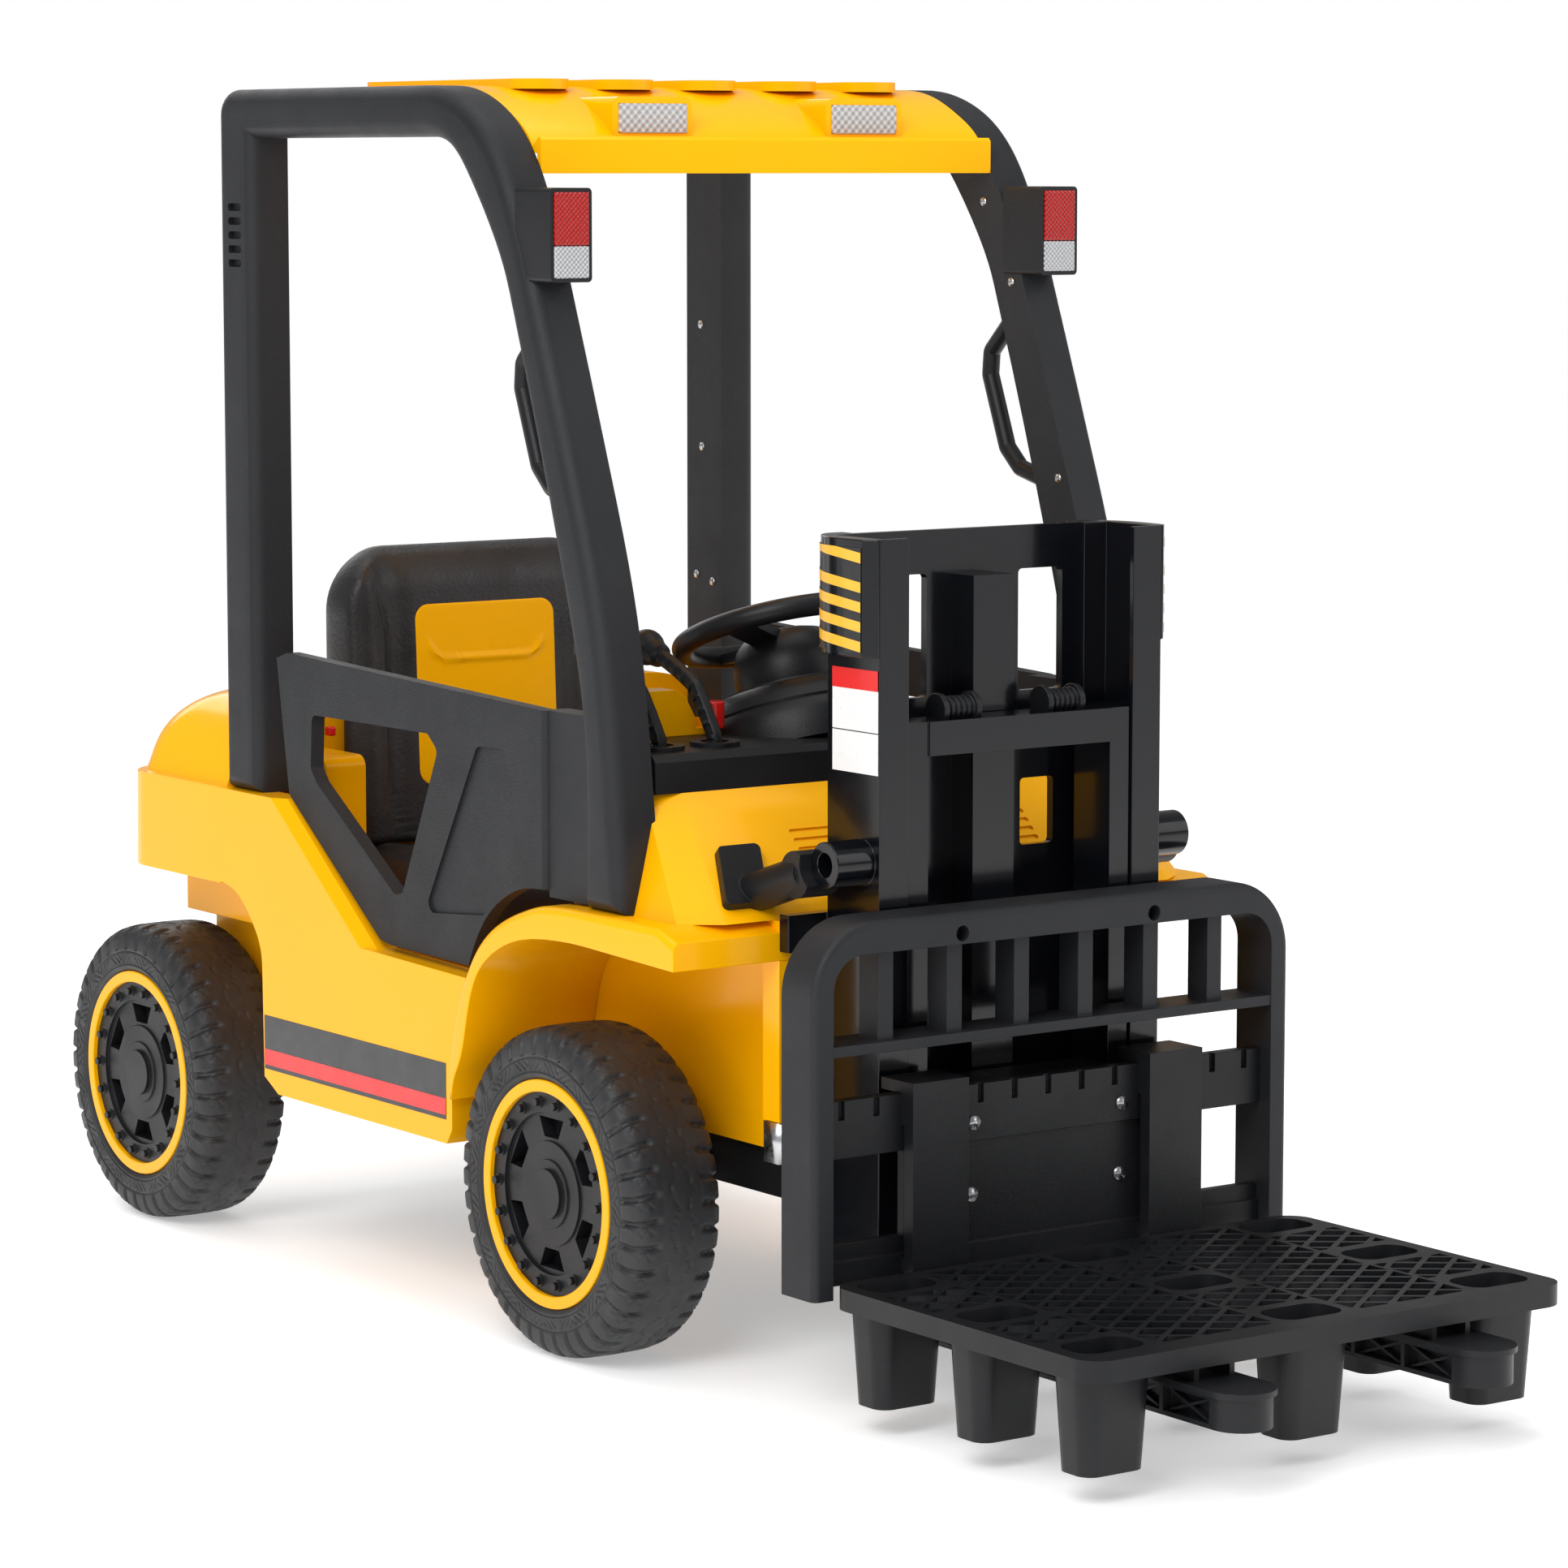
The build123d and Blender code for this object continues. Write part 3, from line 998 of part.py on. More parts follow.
for side in (-1, 1):
    x0, x1 = side * PULLEY_X - PULLEY_HALF, side * PULLEY_X + PULLEY_HALF
    pulley = rod_x(x0, x1, PULLEY_Y, PULLEY_Z, PULLEY_DRUM_R)
    pulley += rod_x(x0, x0 + PULLEY_FLANGE, PULLEY_Y, PULLEY_Z, PULLEY_R)
    pulley += rod_x(x1 - PULLEY_FLANGE, x1, PULLEY_Y, PULLEY_Z, PULLEY_R)
    for index in range(PULLEY_GROOVES):
        groove_x = side * PULLEY_X + GROOVE_PITCH * (index - (PULLEY_GROOVES - 1) / 2) - GROOVE_WIDTH / 2
        groove = rod_x(groove_x, groove_x + GROOVE_WIDTH, PULLEY_Y, PULLEY_Z, PULLEY_DRUM_R + 1)
        pulley -= groove - rod_x(groove_x, groove_x + GROOVE_WIDTH, PULLEY_Y, PULLEY_Z,
                                 PULLEY_DRUM_R - GROOVE_DEPTH)
    pulleys.append(pulley)
    inner -= rod_x(x0, x1, PULLEY_Y, PULLEY_Z, PULLEY_R)
save("inner_mast", inner)
save_group("pulleys", pulleys)

# ---------------------------------------------------------------- carriage
half = CARRIAGE_HALF_WIDTH
carriage = block(-half, half, BAR_FRONT_Y, BAR_REAR_Y, *TOP_BAR_Z)
for index in range(-NOTCH_COUNT, NOTCH_COUNT + 1):
    notch_x = NOTCH_PITCH * index
    carriage -= block(notch_x - 3, notch_x + 3, BAR_FRONT_Y - 1, BAR_FRONT_Y + 5, 250, TOP_BAR_Z[1] + 1)
carriage += block(-150, 150, BAR_FRONT_Y + 3, BAR_REAR_Y, 128, TOP_BAR_Z[0])
carriage += block(-half, half, BAR_FRONT_Y, BAR_REAR_Y, *BOTTOM_BAR_Z)
carriage += block(-half, half, BAR_FRONT_Y + 3, BAR_REAR_Y, BOTTOM_BAR_Z[1], 146)
carriage += block(-93, 93, BAR_REAR_Y, -320, 140, 262) - block(-80, 80, BAR_REAR_Y + 1, -319, 132, 250)
carriage_screws = []
for side in (-1, 1):
    for screw_z, face_y in ((233.7, BAR_FRONT_Y), (172.2, BAR_FRONT_Y + 3)):
        screw = rod_y(side * CARRIAGE_SCREW_X, face_y - 2, face_y + 4, screw_z, CARRIAGE_SCREW_R)
        carriage -= screw
        carriage_screws.append(screw)
save("carriage", carriage)
save_group("carriage_screws", carriage_screws)

blade_half = (FORK_OUTER_X - FORK_INNER_X) / 2
fork_x = -(FORK_OUTER_X + FORK_INNER_X) / 2
tip_y = FORK_TIP_Y + blade_half
plate_z = FORK_TOP_Z - FORK_PLATE
core_half = blade_half - FORK_LIP
fork = block(-FORK_OUTER_X, -FORK_INNER_X, FORK_FACE_Y, BAR_FRONT_Y - 4, FORK_BOTTOM_Z + 6, FORK_SHANK_Z)
fork += block(-FORK_OUTER_X, -FORK_INNER_X, FORK_FACE_Y, BAR_FRONT_Y, 240, FORK_HOOK_Z)
fork += block(-FORK_OUTER_X, -FORK_INNER_X, FORK_FACE_Y, -362, FORK_SHANK_Z, FORK_HOOK_Z)
fork += block(-FORK_OUTER_X, -FORK_INNER_X, BAR_FRONT_Y - 4, BAR_FRONT_Y, 116, 128)
blade = block(-FORK_OUTER_X, -FORK_INNER_X, tip_y, FORK_FACE_Y, plate_z, FORK_TOP_Z)
blade += rod_z(fork_x, tip_y, plate_z, FORK_TOP_Z, blade_half)
core = block(fork_x - core_half, fork_x + core_half, tip_y, FORK_FACE_Y + 4, FORK_BOTTOM_Z, plate_z)
core += rod_z(fork_x, tip_y, FORK_BOTTOM_Z, plate_z, core_half)
for side in (-1, 1):
    edge_x = fork_x + side * core_half
    for index in range(FORK_BAYS):
        y0 = tip_y + 6 + FORK_BAY_PITCH * index
        core -= block(edge_x - FORK_BAY_DEPTH, edge_x + FORK_BAY_DEPTH, y0, y0 + FORK_BAY_LENGTH,
                      FORK_BOTTOM_Z + 4, plate_z - 3)
        centre = Pos(edge_x - side * (FORK_BAY_DEPTH - 3), y0 + FORK_BAY_LENGTH / 2, (FORK_BOTTOM_Z + plate_z) / 2)
        for lean in (-FORK_BRACE_TILT, FORK_BRACE_TILT):
            core += centre * Rot(lean, 0, 0) * Box(*FORK_BRACE)
save_pair("fork", fork + blade + core)

frame_outer = rounded_block(-GUARD_FRAME_HALF, GUARD_FRAME_HALF, GUARD_FRAME_FRONT_Y, GUARD_FRAME_REAR_Y,
                            0, GUARD_FRAME_TOP_Z, GUARD_FRAME_R, Axis.Y)
frame_inner = rounded_block(-half, half, GUARD_FRAME_FRONT_Y - 1, GUARD_FRAME_REAR_Y + 1,
                            -60, GUARD_FRAME_UNDER_Z, GUARD_FRAME_INNER_R, Axis.Y)
load_guard = frame_outer - frame_inner - block(-FAR, FAR, -FAR, 0, -1, GUARD_FRAME_BOTTOM_Z)
front_edges = [e for e in load_guard.edges() if abs(e.center().Y - GUARD_FRAME_FRONT_Y) < 0.01
               and (abs(e.center().X) > half + 5 or e.center().Z > GUARD_FRAME_TOP_Z - 1)
               and e.center().Z > GUARD_FRAME_BOTTOM_Z + 1]
load_guard = fillet(front_edges, GUARD_FRAME_EDGE)
load_guard += block(-half, half, GUARD_FRAME_FRONT_Y + 1, GUARD_FRAME_REAR_Y, *SLAT_BAR_Z)
for slat_x in SLAT_X:
    load_guard += both_sides(block(-slat_x - SLAT_HALF, -slat_x + SLAT_HALF, GUARD_FRAME_FRONT_Y + 8,
                                   GUARD_FRAME_REAR_Y - 12, SLAT_BAR_Z[1], GUARD_FRAME_UNDER_Z))
load_guard -= both_sides(rod_y(-102.4, GUARD_FRAME_FRONT_Y - 1, GUARD_FRAME_FRONT_Y + 14, 397, 6.5))
save("load_guard", load_guard)


# ---------------------------------------------------------------- pallet
def lattice(width, length):
    """Diagonal lattice of diamond holes filling one rectangle."""
    pitch_x, pitch_y = LATTICE_PITCH
    half_x, half_y = pitch_x / 2, pitch_y / 2
    reach = half_x * half_y / math.hypot(half_x, half_y)
    shrink = (reach - LATTICE_BAR / 2) / reach
    diamond = polygon([(-half_x * shrink, 0), (0, half_y * shrink), (half_x * shrink, 0), (0, -half_y * shrink)])
    columns = math.ceil(width / pitch_x)
    rows = math.ceil(length / pitch_y)
    spots = [Pos(half_x * i, half_y * j) for i in range(-columns, columns + 1)
             for j in range(-rows, rows + 1) if (i + j) % 2 == 0]
    holes = []
    for spot in spots:
        hole = (spot * diamond) & Rectangle(width, length)
        holes += [face for face in hole.faces() if face.area > 2 * LATTICE_BAR ** 2]
    return holes


deck = rounded_block(-PALLET_HALF_WIDTH, PALLET_HALF_WIDTH, PALLET_FRONT_Y, PALLET_REAR_Y,
                     SKIRT_BOTTOM_Z, DECK_TOP_Z, PALLET_CORNER_R, Axis.Z)
deck_under = DECK_TOP_Z - DECK_THICKNESS
deck -= rounded_block(-PALLET_HALF_WIDTH + PALLET_SKIRT, PALLET_HALF_WIDTH - PALLET_SKIRT,
                      PALLET_FRONT_Y + PALLET_SKIRT, PALLET_REAR_Y - PALLET_SKIRT,
                      SKIRT_BOTTOM_Z - 1, deck_under, PALLET_CORNER_R - PALLET_SKIRT, Axis.Z)
for runner_x in RUNNER_X:
    deck += both_sides(block(-runner_x - RUNNER_HALF, -runner_x + RUNNER_HALF, PALLET_FRONT_Y + PALLET_SKIRT,
                             PALLET_REAR_Y - PALLET_SKIRT, FORK_TOP_Z, deck_under))
groups = [(side * LATTICE_LONG_X, LEG_ROWS_Y[1], LATTICE_LONG_SIZE) for side in (-1, 1)]
for leg_x in (-LEG_X, 0, LEG_X):
    groups += [(leg_x, (LEG_ROWS_Y[1] + row_y) / 2, LATTICE_SHORT_SIZE) for row_y in (LEG_ROWS_Y[0], LEG_ROWS_Y[2])]
cutters = []
for group_x, group_y, size in groups:
    for hole in lattice(*size):
        cutters.append(extrude(Pos(group_x, group_y, DECK_TOP_Z + 1) * hole, amount=-DECK_THICKNESS - 2))
deck -= cutters
leg_height = DECK_TOP_Z - LEG_BOTTOM_Z
for leg_y in LEG_ROWS_Y:
    for leg_x in (-LEG_X, 0, LEG_X):
        shell = Pos(leg_x, leg_y, DECK_TOP_Z - 0.5) * extrude(
            RectangleRounded(*LEG_SIZE, 20), amount=0.5 - leg_height, taper=LEG_TAPER)
        hollow = Pos(leg_x, leg_y, DECK_TOP_Z + 1) * extrude(
            RectangleRounded(*LEG_HOLLOW, 16), amount=LEG_FLOOR - leg_height, taper=LEG_TAPER)
        deck = deck + shell - hollow
save("pallet", deck)
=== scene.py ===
import json
import math

import bpy
import numpy as np
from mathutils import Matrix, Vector


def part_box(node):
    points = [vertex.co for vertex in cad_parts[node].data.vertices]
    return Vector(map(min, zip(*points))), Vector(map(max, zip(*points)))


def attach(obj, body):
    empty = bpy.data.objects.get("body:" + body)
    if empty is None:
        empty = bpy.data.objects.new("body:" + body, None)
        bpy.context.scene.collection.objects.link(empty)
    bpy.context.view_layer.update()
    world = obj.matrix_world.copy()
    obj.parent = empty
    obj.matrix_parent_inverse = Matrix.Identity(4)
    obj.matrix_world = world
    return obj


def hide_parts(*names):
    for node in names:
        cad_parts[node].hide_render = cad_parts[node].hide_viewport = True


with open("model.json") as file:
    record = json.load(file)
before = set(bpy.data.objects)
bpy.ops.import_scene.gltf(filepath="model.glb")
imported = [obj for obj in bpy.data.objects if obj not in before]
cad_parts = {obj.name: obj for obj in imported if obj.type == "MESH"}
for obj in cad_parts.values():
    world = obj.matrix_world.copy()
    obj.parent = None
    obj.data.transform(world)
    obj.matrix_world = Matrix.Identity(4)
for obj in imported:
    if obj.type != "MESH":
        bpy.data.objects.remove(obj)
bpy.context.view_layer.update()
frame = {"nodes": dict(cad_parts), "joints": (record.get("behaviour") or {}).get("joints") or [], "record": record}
MM = 0.001
RIGHT, LEFT = -1, 1
SIDES = (("right", RIGHT), ("left", LEFT))


# ---------------------------------------------------------------- materials
class Surface:
    """A node material with helpers that add noise, grain and marks."""

    def __init__(self, name, color, roughness, **sockets):
        self.material = bpy.data.materials.new(name)
        self.material.use_nodes = True
        self.tree = self.material.node_tree
        self.shader = self.tree.nodes["Principled BSDF"]
        self.shader.inputs["Base Color"].default_value = (*color, 1)
        self.shader.inputs["Roughness"].default_value = roughness
        for socket, value in sockets.items():
            self.shader.inputs[socket.replace("_", " ")].default_value = value
        self.place = self.tree.nodes.new("ShaderNodeTexCoord").outputs["Object"]
        self.normal = None

    def node(self, kind, **values):
        made = self.tree.nodes.new(kind)
        for key, value in values.items():
            setattr(made, key, value)
        return made

    def link(self, source, target):
        self.tree.links.new(source, target)

    def noise(self, scale, detail=3.0, roughness=0.5):
        made = self.node("ShaderNodeTexNoise")
        made.inputs["Scale"].default_value = scale
        made.inputs["Detail"].default_value = detail
        made.inputs["Roughness"].default_value = roughness
        self.link(self.place, made.inputs["Vector"])
        return made.outputs["Fac"]

    def cells(self, scale, feature="F1"):
        made = self.node("ShaderNodeTexVoronoi", feature=feature)
        made.inputs["Scale"].default_value = scale
        self.link(self.place, made.inputs["Vector"])
        return made.outputs["Distance"]

    def levels(self, source, low, high, out_low, out_high):
        """Source range mapped onto an output range, with the ends held."""
        made = self.node("ShaderNodeMapRange")
        sockets = ("From Min", "From Max", "To Min", "To Max")
        for socket, value in zip(sockets, (low, high, out_low, out_high)):
            made.inputs[socket].default_value = value
        self.link(source, made.inputs["Value"])
        return made.outputs["Result"]

    def tint(self, factor, first, second):
        """Base colour that runs between two colours."""
        mix = self.node("ShaderNodeMix", data_type="RGBA")
        mix.inputs["A"].default_value = (*first, 1)
        mix.inputs["B"].default_value = (*second, 1)
        self.link(factor, mix.inputs["Factor"])
        self.link(mix.outputs["Result"], self.shader.inputs["Base Color"])

    def rough(self, factor, low, high):
        self.link(self.levels(factor, 0.3, 0.7, low, high), self.shader.inputs["Roughness"])

    def bump(self, height, strength, distance):
        made = self.node("ShaderNodeBump")
        made.inputs["Strength"].default_value = strength
        made.inputs["Distance"].default_value = distance
        self.link(height, made.inputs["Height"])
        if self.normal:
            self.link(self.normal, made.inputs["Normal"])
        self.normal = made.outputs["Normal"]
        self.link(self.normal, self.shader.inputs["Normal"])

    def math(self, operation, first, second=0.0):
        made = self.node("ShaderNodeMath", operation=operation)
        for socket, value in zip(made.inputs, (first, second)):
            if isinstance(value, (int, float)):
                socket.default_value = value
            else:
                self.link(value, socket)
        return made.outputs["Value"]


MOULDED_SHINE = 0.3


def gloss_plastic(name, dark, bright, rough_low, rough_high, coat, sheen=(1, 1, 1, 1)):
    """Injection-moulded gloss plastic: faint flow marks, orange peel and fine dust."""
    made = Surface(name, dark, rough_low, Coat_Weight=coat, Coat_Roughness=0.08,
                   Specular_IOR_Level=MOULDED_SHINE, Specular_Tint=sheen)
    made.tint(made.levels(made.noise(2.2, 2.0), 0.3, 0.7, 0.0, 1.0), dark, bright)
    made.rough(made.noise(38.0, 5.0, 0.6), rough_low, rough_high)
    made.bump(made.noise(7.0, 2.0), 0.12, 0.004)
    made.bump(made.noise(420.0, 2.0), 0.05, 0.0006)
    return made.material


def grained_plastic(name, dark, bright, rough_low, rough_high, grain, depth):
    """Moulded plastic with a fine spark-eroded grain and rubbed patches."""
    made = Surface(name, dark, rough_low, Specular_IOR_Level=MOULDED_SHINE)
    made.tint(made.levels(made.noise(5.0, 5.0), 0.35, 0.65, 0.0, 1.0), dark, bright)
    made.rough(made.noise(24.0, 4.0, 0.6), rough_low, rough_high)
    made.bump(made.noise(6.0, 2.0), 0.1, 0.004)
    made.bump(made.cells(grain), 0.35, depth)
    made.bump(made.noise(grain * 1.9, 3.0), 0.25, depth)
    return made.material


def vinyl():
    """Seat skin: pebbled leather grain with soft creases."""
    made = Surface("vinyl", (0.022, 0.022, 0.024), 0.42)
    worn = made.levels(made.noise(9.0, 4.0), 0.35, 0.65, 0.0, 1.0)
    made.tint(worn, (0.017, 0.017, 0.019), (0.03, 0.03, 0.032))
    made.rough(made.noise(30.0, 4.0), 0.36, 0.52)
    made.bump(made.noise(11.0, 3.0), 0.35, 0.006)
    made.bump(made.cells(310.0, "SMOOTH_F1"), 0.4, 0.0009)
    made.bump(made.noise(700.0, 2.0), 0.2, 0.0003)
    return made.material


def tyre_plastic():
    """Matt tyre plastic with faint patches of dust."""
    made = Surface("tyre_plastic", (0.02, 0.021, 0.023), 0.6)
    dust = made.levels(made.noise(14.0, 6.0, 0.6), 0.4, 0.7, 0.0, 1.0)
    made.tint(dust, (0.015, 0.016, 0.018), (0.028, 0.029, 0.031))
    made.rough(made.noise(55.0, 4.0), 0.42, 0.62)
    made.bump(made.noise(16.0, 2.0), 0.2, 0.003)
    made.bump(made.noise(900.0, 2.0), 0.3, 0.0004)
    return made.material


def lens(name, color, pitch, roughness):
    """Moulded lens with a square grid of small reflector cells, each with painted highlight on its crest and
    painted shade in its hollow.
    """
    made = Surface(name, color, roughness, Transmission_Weight=0.25, IOR=1.49, Coat_Weight=0.5)
    axes = made.node("ShaderNodeSeparateXYZ")
    made.link(made.place, axes.inputs["Vector"])
    waves = []
    for axis in ("X", "Z"):
        phase = made.math("MULTIPLY", axes.outputs[axis], 2 * math.pi / pitch)
        waves.append(made.math("SINE", phase))
    cell = made.math("MULTIPLY", waves[0], waves[1])
    made.bump(cell, 0.8, 0.0012)
    # painted highlight and shade: the base colour is lighter on each cell's crest and darker in its hollow,
    # following the bump
    painted_cell_light = made.levels(cell, -1.0, 1.0, 0.0, 1.0)
    made.tint(painted_cell_light, tuple(0.55 * part for part in color), tuple(min(1.0, 1.25 * part) for part in color))
    return made.material


def metal():
    """Plated screw steel with fine turning marks."""
    made = Surface("plated_steel", (0.55, 0.55, 0.57), 0.28, Metallic=1.0)
    made.tint(made.noise(60.0, 4.0), (0.42, 0.42, 0.44), (0.66, 0.66, 0.68))
    made.rough(made.noise(220.0, 3.0), 0.2, 0.38)
    made.bump(made.noise(900.0, 2.0), 0.15, 0.0002)
    return made.material


def print_film(name, color):
    """Printed sticker film, slightly uneven in colour."""
    made = Surface(name, color, 0.3, Coat_Weight=0.2)
    made.tint(made.noise(90.0, 3.0), tuple(0.94 * part for part in color), color)
    made.rough(made.noise(60.0, 3.0), 0.25, 0.38)
    made.bump(made.noise(45.0, 2.0), 0.08, 0.0008)
    return made.material


YELLOW_SHEEN = (1.0, 0.7, 0.2, 1)
YELLOW = gloss_plastic("yellow_plastic", (0.95, 0.43, 0.0), (0.97, 0.45, 0.0), 0.16, 0.24, 0.12, YELLOW_SHEEN)
YELLOW_SATIN = gloss_plastic("yellow_satin", (0.95, 0.44, 0.0), (0.97, 0.46, 0.0), 0.24, 0.34, 0.05,
                             YELLOW_SHEEN)
GUARD_GREY = grained_plastic("guard_grey", (0.014, 0.0148, 0.0175), (0.018, 0.019, 0.022), 0.44, 0.54,
                             900.0, 0.0005)
DOOR_GREY = grained_plastic("door_grey", (0.016, 0.0168, 0.0195), (0.020, 0.021, 0.0235), 0.46, 0.56,
                            700.0, 0.0006)
SATIN_BLACK = grained_plastic("satin_black", (0.007, 0.0075, 0.009), (0.011, 0.0115, 0.013), 0.32, 0.42,
                              1100.0, 0.0003)
GLOSS_BLACK = gloss_plastic("gloss_black", (0.003, 0.0034, 0.005), (0.005, 0.0055, 0.0075), 0.14, 0.22, 0.25)
TYRE = tyre_plastic()
VINYL = vinyl()
LENS_RED = lens("lens_red", (0.62, 0.008, 0.006), 0.0045, 0.12)
LENS_CLEAR = lens("lens_clear", (0.72, 0.73, 0.75), 0.0045, 0.12)
HEADLIGHT = lens("headlight", (0.68, 0.69, 0.7), 0.008, 0.1)
STEEL = metal()
RED = gloss_plastic("red_plastic", (0.6, 0.01, 0.008), (0.7, 0.015, 0.01), 0.2, 0.3, 0.3)
FILM_WHITE = print_film("film_white", (0.82, 0.82, 0.82))
FILM_RED = print_film("film_red", (0.75, 0.012, 0.01))
FILM_BLACK = print_film("film_black", (0.012, 0.012, 0.014))
FILM_YELLOW = print_film("film_yellow", (0.9, 0.47, 0.03))
SLOT_MATERIAL = {
    "yellow_plastic": YELLOW, "grey_plastic": GUARD_GREY, "black_gloss": GLOSS_BLACK,
    "black_satin": SATIN_BLACK, "tyre": TYRE, "seat_vinyl": VINYL, "lens_red": LENS_RED,
    "lens_clear": HEADLIGHT, "steel": STEEL, "button_red": RED,
}
NODE_MATERIAL = {"door_right": DOOR_GREY, "door_left": DOOR_GREY}


# ---------------------------------------------------------------- mesh helpers
WELD_GAP = 1e-5
FLAT_DEGREES = 0.6


def sharpen(mesh, degrees=32):
    """Smooth shading that keeps edges above an angle sharp."""
    mesh.shade_smooth()
    mesh.set_sharp_from_angle(angle=math.radians(degrees))


def piece(name, vertices, faces, material, body, slot, sharp=32):
    """New mesh piece in place, riding on a body."""
    mesh = bpy.data.meshes.new(name)
    mesh.from_pydata([tuple(v) for v in vertices], [], [tuple(f) for f in faces])
    mesh.validate()
    sharpen(mesh, sharp)
    mesh.materials.append(material)
    made = bpy.data.objects.new(name, mesh)
    bpy.context.scene.collection.objects.link(made)
    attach(made, body)
    return made


def bevel(made, width, segments=3, angle=35):
    """Rounded edges of a given width."""
    rounding = made.modifiers.new("round", "BEVEL")
    rounding.width = width
    rounding.segments = segments
    rounding.limit_method = "ANGLE"
    rounding.angle_limit = math.radians(angle)
    rounding.use_clamp_overlap = True
    rounding.harden_normals = True


def refine_node(name, width):
    """CAD node with welded faces, flat areas joined and its edges rounded."""
    made = frame["nodes"][name]
    mesh = made.data
    if "custom_normal" in mesh.attributes:
        mesh.attributes.remove(mesh.attributes["custom_normal"])
    weld = made.modifiers.new("weld", "WELD")
    weld.merge_threshold = WELD_GAP
    flat = made.modifiers.new("flat", "DECIMATE")
    flat.decimate_type = "DISSOLVE"
    flat.angle_limit = math.radians(FLAT_DEGREES)
    sharpen(mesh)
    if width:
        bevel(made, width)


def grid_faces(rows, columns, close_rows=False, close_columns=False):
    """Quads of a rows by columns grid of vertices."""
    faces = []
    for i in range(rows if close_rows else rows - 1):
        for j in range(columns if close_columns else columns - 1):
            a, b = i * columns + j, i * columns + (j + 1) % columns
            c, d = ((i + 1) % rows) * columns + (j + 1) % columns, ((i + 1) % rows) * columns + j
            faces.append((a, b, c, d))
    return faces


def smooth_curve(points, per_span):
    """Catmull-Rom curve through points."""
    points = [np.array(p, float) for p in points]
    ends = [2 * points[0] - points[1], *points, 2 * points[-1] - points[-2]]
    out = []
    for i in range(1, len(ends) - 2):
        a, b, c, d = ends[i - 1:i + 3]
        for t in np.linspace(0, 1, per_span, endpoint=False):
            out.append(0.5 * (2 * b + (c - a) * t + (2 * a - 5 * b + 4 * c - d) * t ** 2
                              + (3 * b - a - 3 * c + d) * t ** 3))
    out.append(points[-1])
    return np.array(out)


# ---------------------------------------------------------------- CAD nodes
slots = {part["node"]: part["material_slot"] for part in frame["record"]["subparts"]}
EDGE = {"tyre": 0.0, "steel": 0.0, "lens_red": 0.0004, "lens_clear": 0.0012}
PLAIN_EDGE = 0.0014
for node_name, node_object in frame["nodes"].items():
    finish = NODE_MATERIAL.get(node_name, SLOT_MATERIAL[slots[node_name]])
    node_object.data.materials.clear()
    node_object.data.materials.append(finish)
    refine_node(node_name, EDGE.get(slots[node_name], PLAIN_EDGE))


# ---------------------------------------------------------------- tyres
TYRE_SECTION = [(-43, 99.6), (-46.5, 104), (-47.2, 112), (-46.8, 124), (-44, 135), (-38, 141.5), (-28, 144.3),
                (-10, 145), (10, 145), (28, 144.3), (38, 141.5), (44, 135), (46.8, 124), (47.2, 112),
                (46.5, 104), (43, 99.6)]
LUGS = 40
TYRE_STEPS = 560
LUG_CUT, SIPE_CUT, GROOVE_CUT, WAVE_CUT, WALL_CUT = 3.4, 1.0, 1.5, 1.1, 0.9
TREAD_FLOOR = 138
WALL_RINGS = (106.5, 119.5)
MARK_SECTORS = 15


def ridge(distance, width):
    """1 on a line, fading to 0 at its edges."""
    return np.clip(1.6 - 1.6 * np.abs(distance) / (width / 2), 0, 1)


def tyre_mesh():
    """Tyre with shoulder lugs, wavy sipes and chevron marks on its side walls, about its own centre."""
    section = smooth_curve(TYRE_SECTION, 8)
    tangent = np.gradient(section, axis=0)
    normal = np.stack([tangent[:, 1], -tangent[:, 0]], 1)
    normal /= np.linalg.norm(normal, axis=1)[:, None]
    normal *= np.sign(normal[:, 1].sum())
    angle = np.linspace(0, 2 * math.pi, TYRE_STEPS, endpoint=False)[:, None]
    axial, radius = section[None, :, 0], section[None, :, 1]
    turn = angle / (2 * math.pi)
    pitch = 1.0 / LUGS
    lean = 0.006 * np.abs(axial) / 47
    phase = ((turn + lean + 0.5 * pitch * (axial > 0)) % pitch) / pitch - 0.5
    shoulder = np.clip((np.abs(axial) - 20) / 4, 0, 1) * np.clip((radius - 121) / 2, 0, 1)
    cut = ridge(phase, 0.34) * shoulder * LUG_CUT
    sipe = ridge(((turn + 0.003 * np.sin(axial * 0.7)) % pitch) / pitch - 0.5, 0.12)
    outer = np.clip((np.abs(axial) - 26) / 2, 0, 1)
    cut += sipe * outer * np.clip((radius - TREAD_FLOOR) / 2, 0, 1) * SIPE_CUT
    cut += ridge(np.abs(axial) - 18.5, 2.6) * (radius > TREAD_FLOOR) * GROOVE_CUT
    for offset, swing in ((-9.0, 2.6), (7.0, 3.4)):
        wave = offset + swing * np.sin(26 * angle + offset) + 0.8 * np.sin(67 * angle)
        cut += ridge(axial - wave, 2.4) * (radius > TREAD_FLOOR) * WAVE_CUT
    wall = np.abs(axial) > 40
    for circle in WALL_RINGS:
        cut += ridge(radius - circle, 2.0) * wall * WALL_CUT
    inside = wall * np.clip((radius - 108) / 1.0, 0, 1) * np.clip((118 - radius) / 1.0, 0, 1)
    sector = (turn * MARK_SECTORS) % 1.0
    chevron = np.abs(sector - 0.5) * 47
    stroke = ridge((chevron - (radius - 107) * 1.1) % 7.5 - 2.0, 2.6)
    cut += stroke * inside * (np.abs(sector - 0.5) < 0.42) * WALL_CUT
    axial_out = axial - normal[None, :, 0] * cut
    radius_out = radius - normal[None, :, 1] * cut
    x = -axial_out + 0 * angle
    y = radius_out * np.sin(angle)
    z = radius_out * np.cos(angle)
    vertices = np.stack([x, y, z], -1).reshape(-1, 3) * MM
    return vertices, grid_faces(TYRE_STEPS, len(section), close_rows=True)


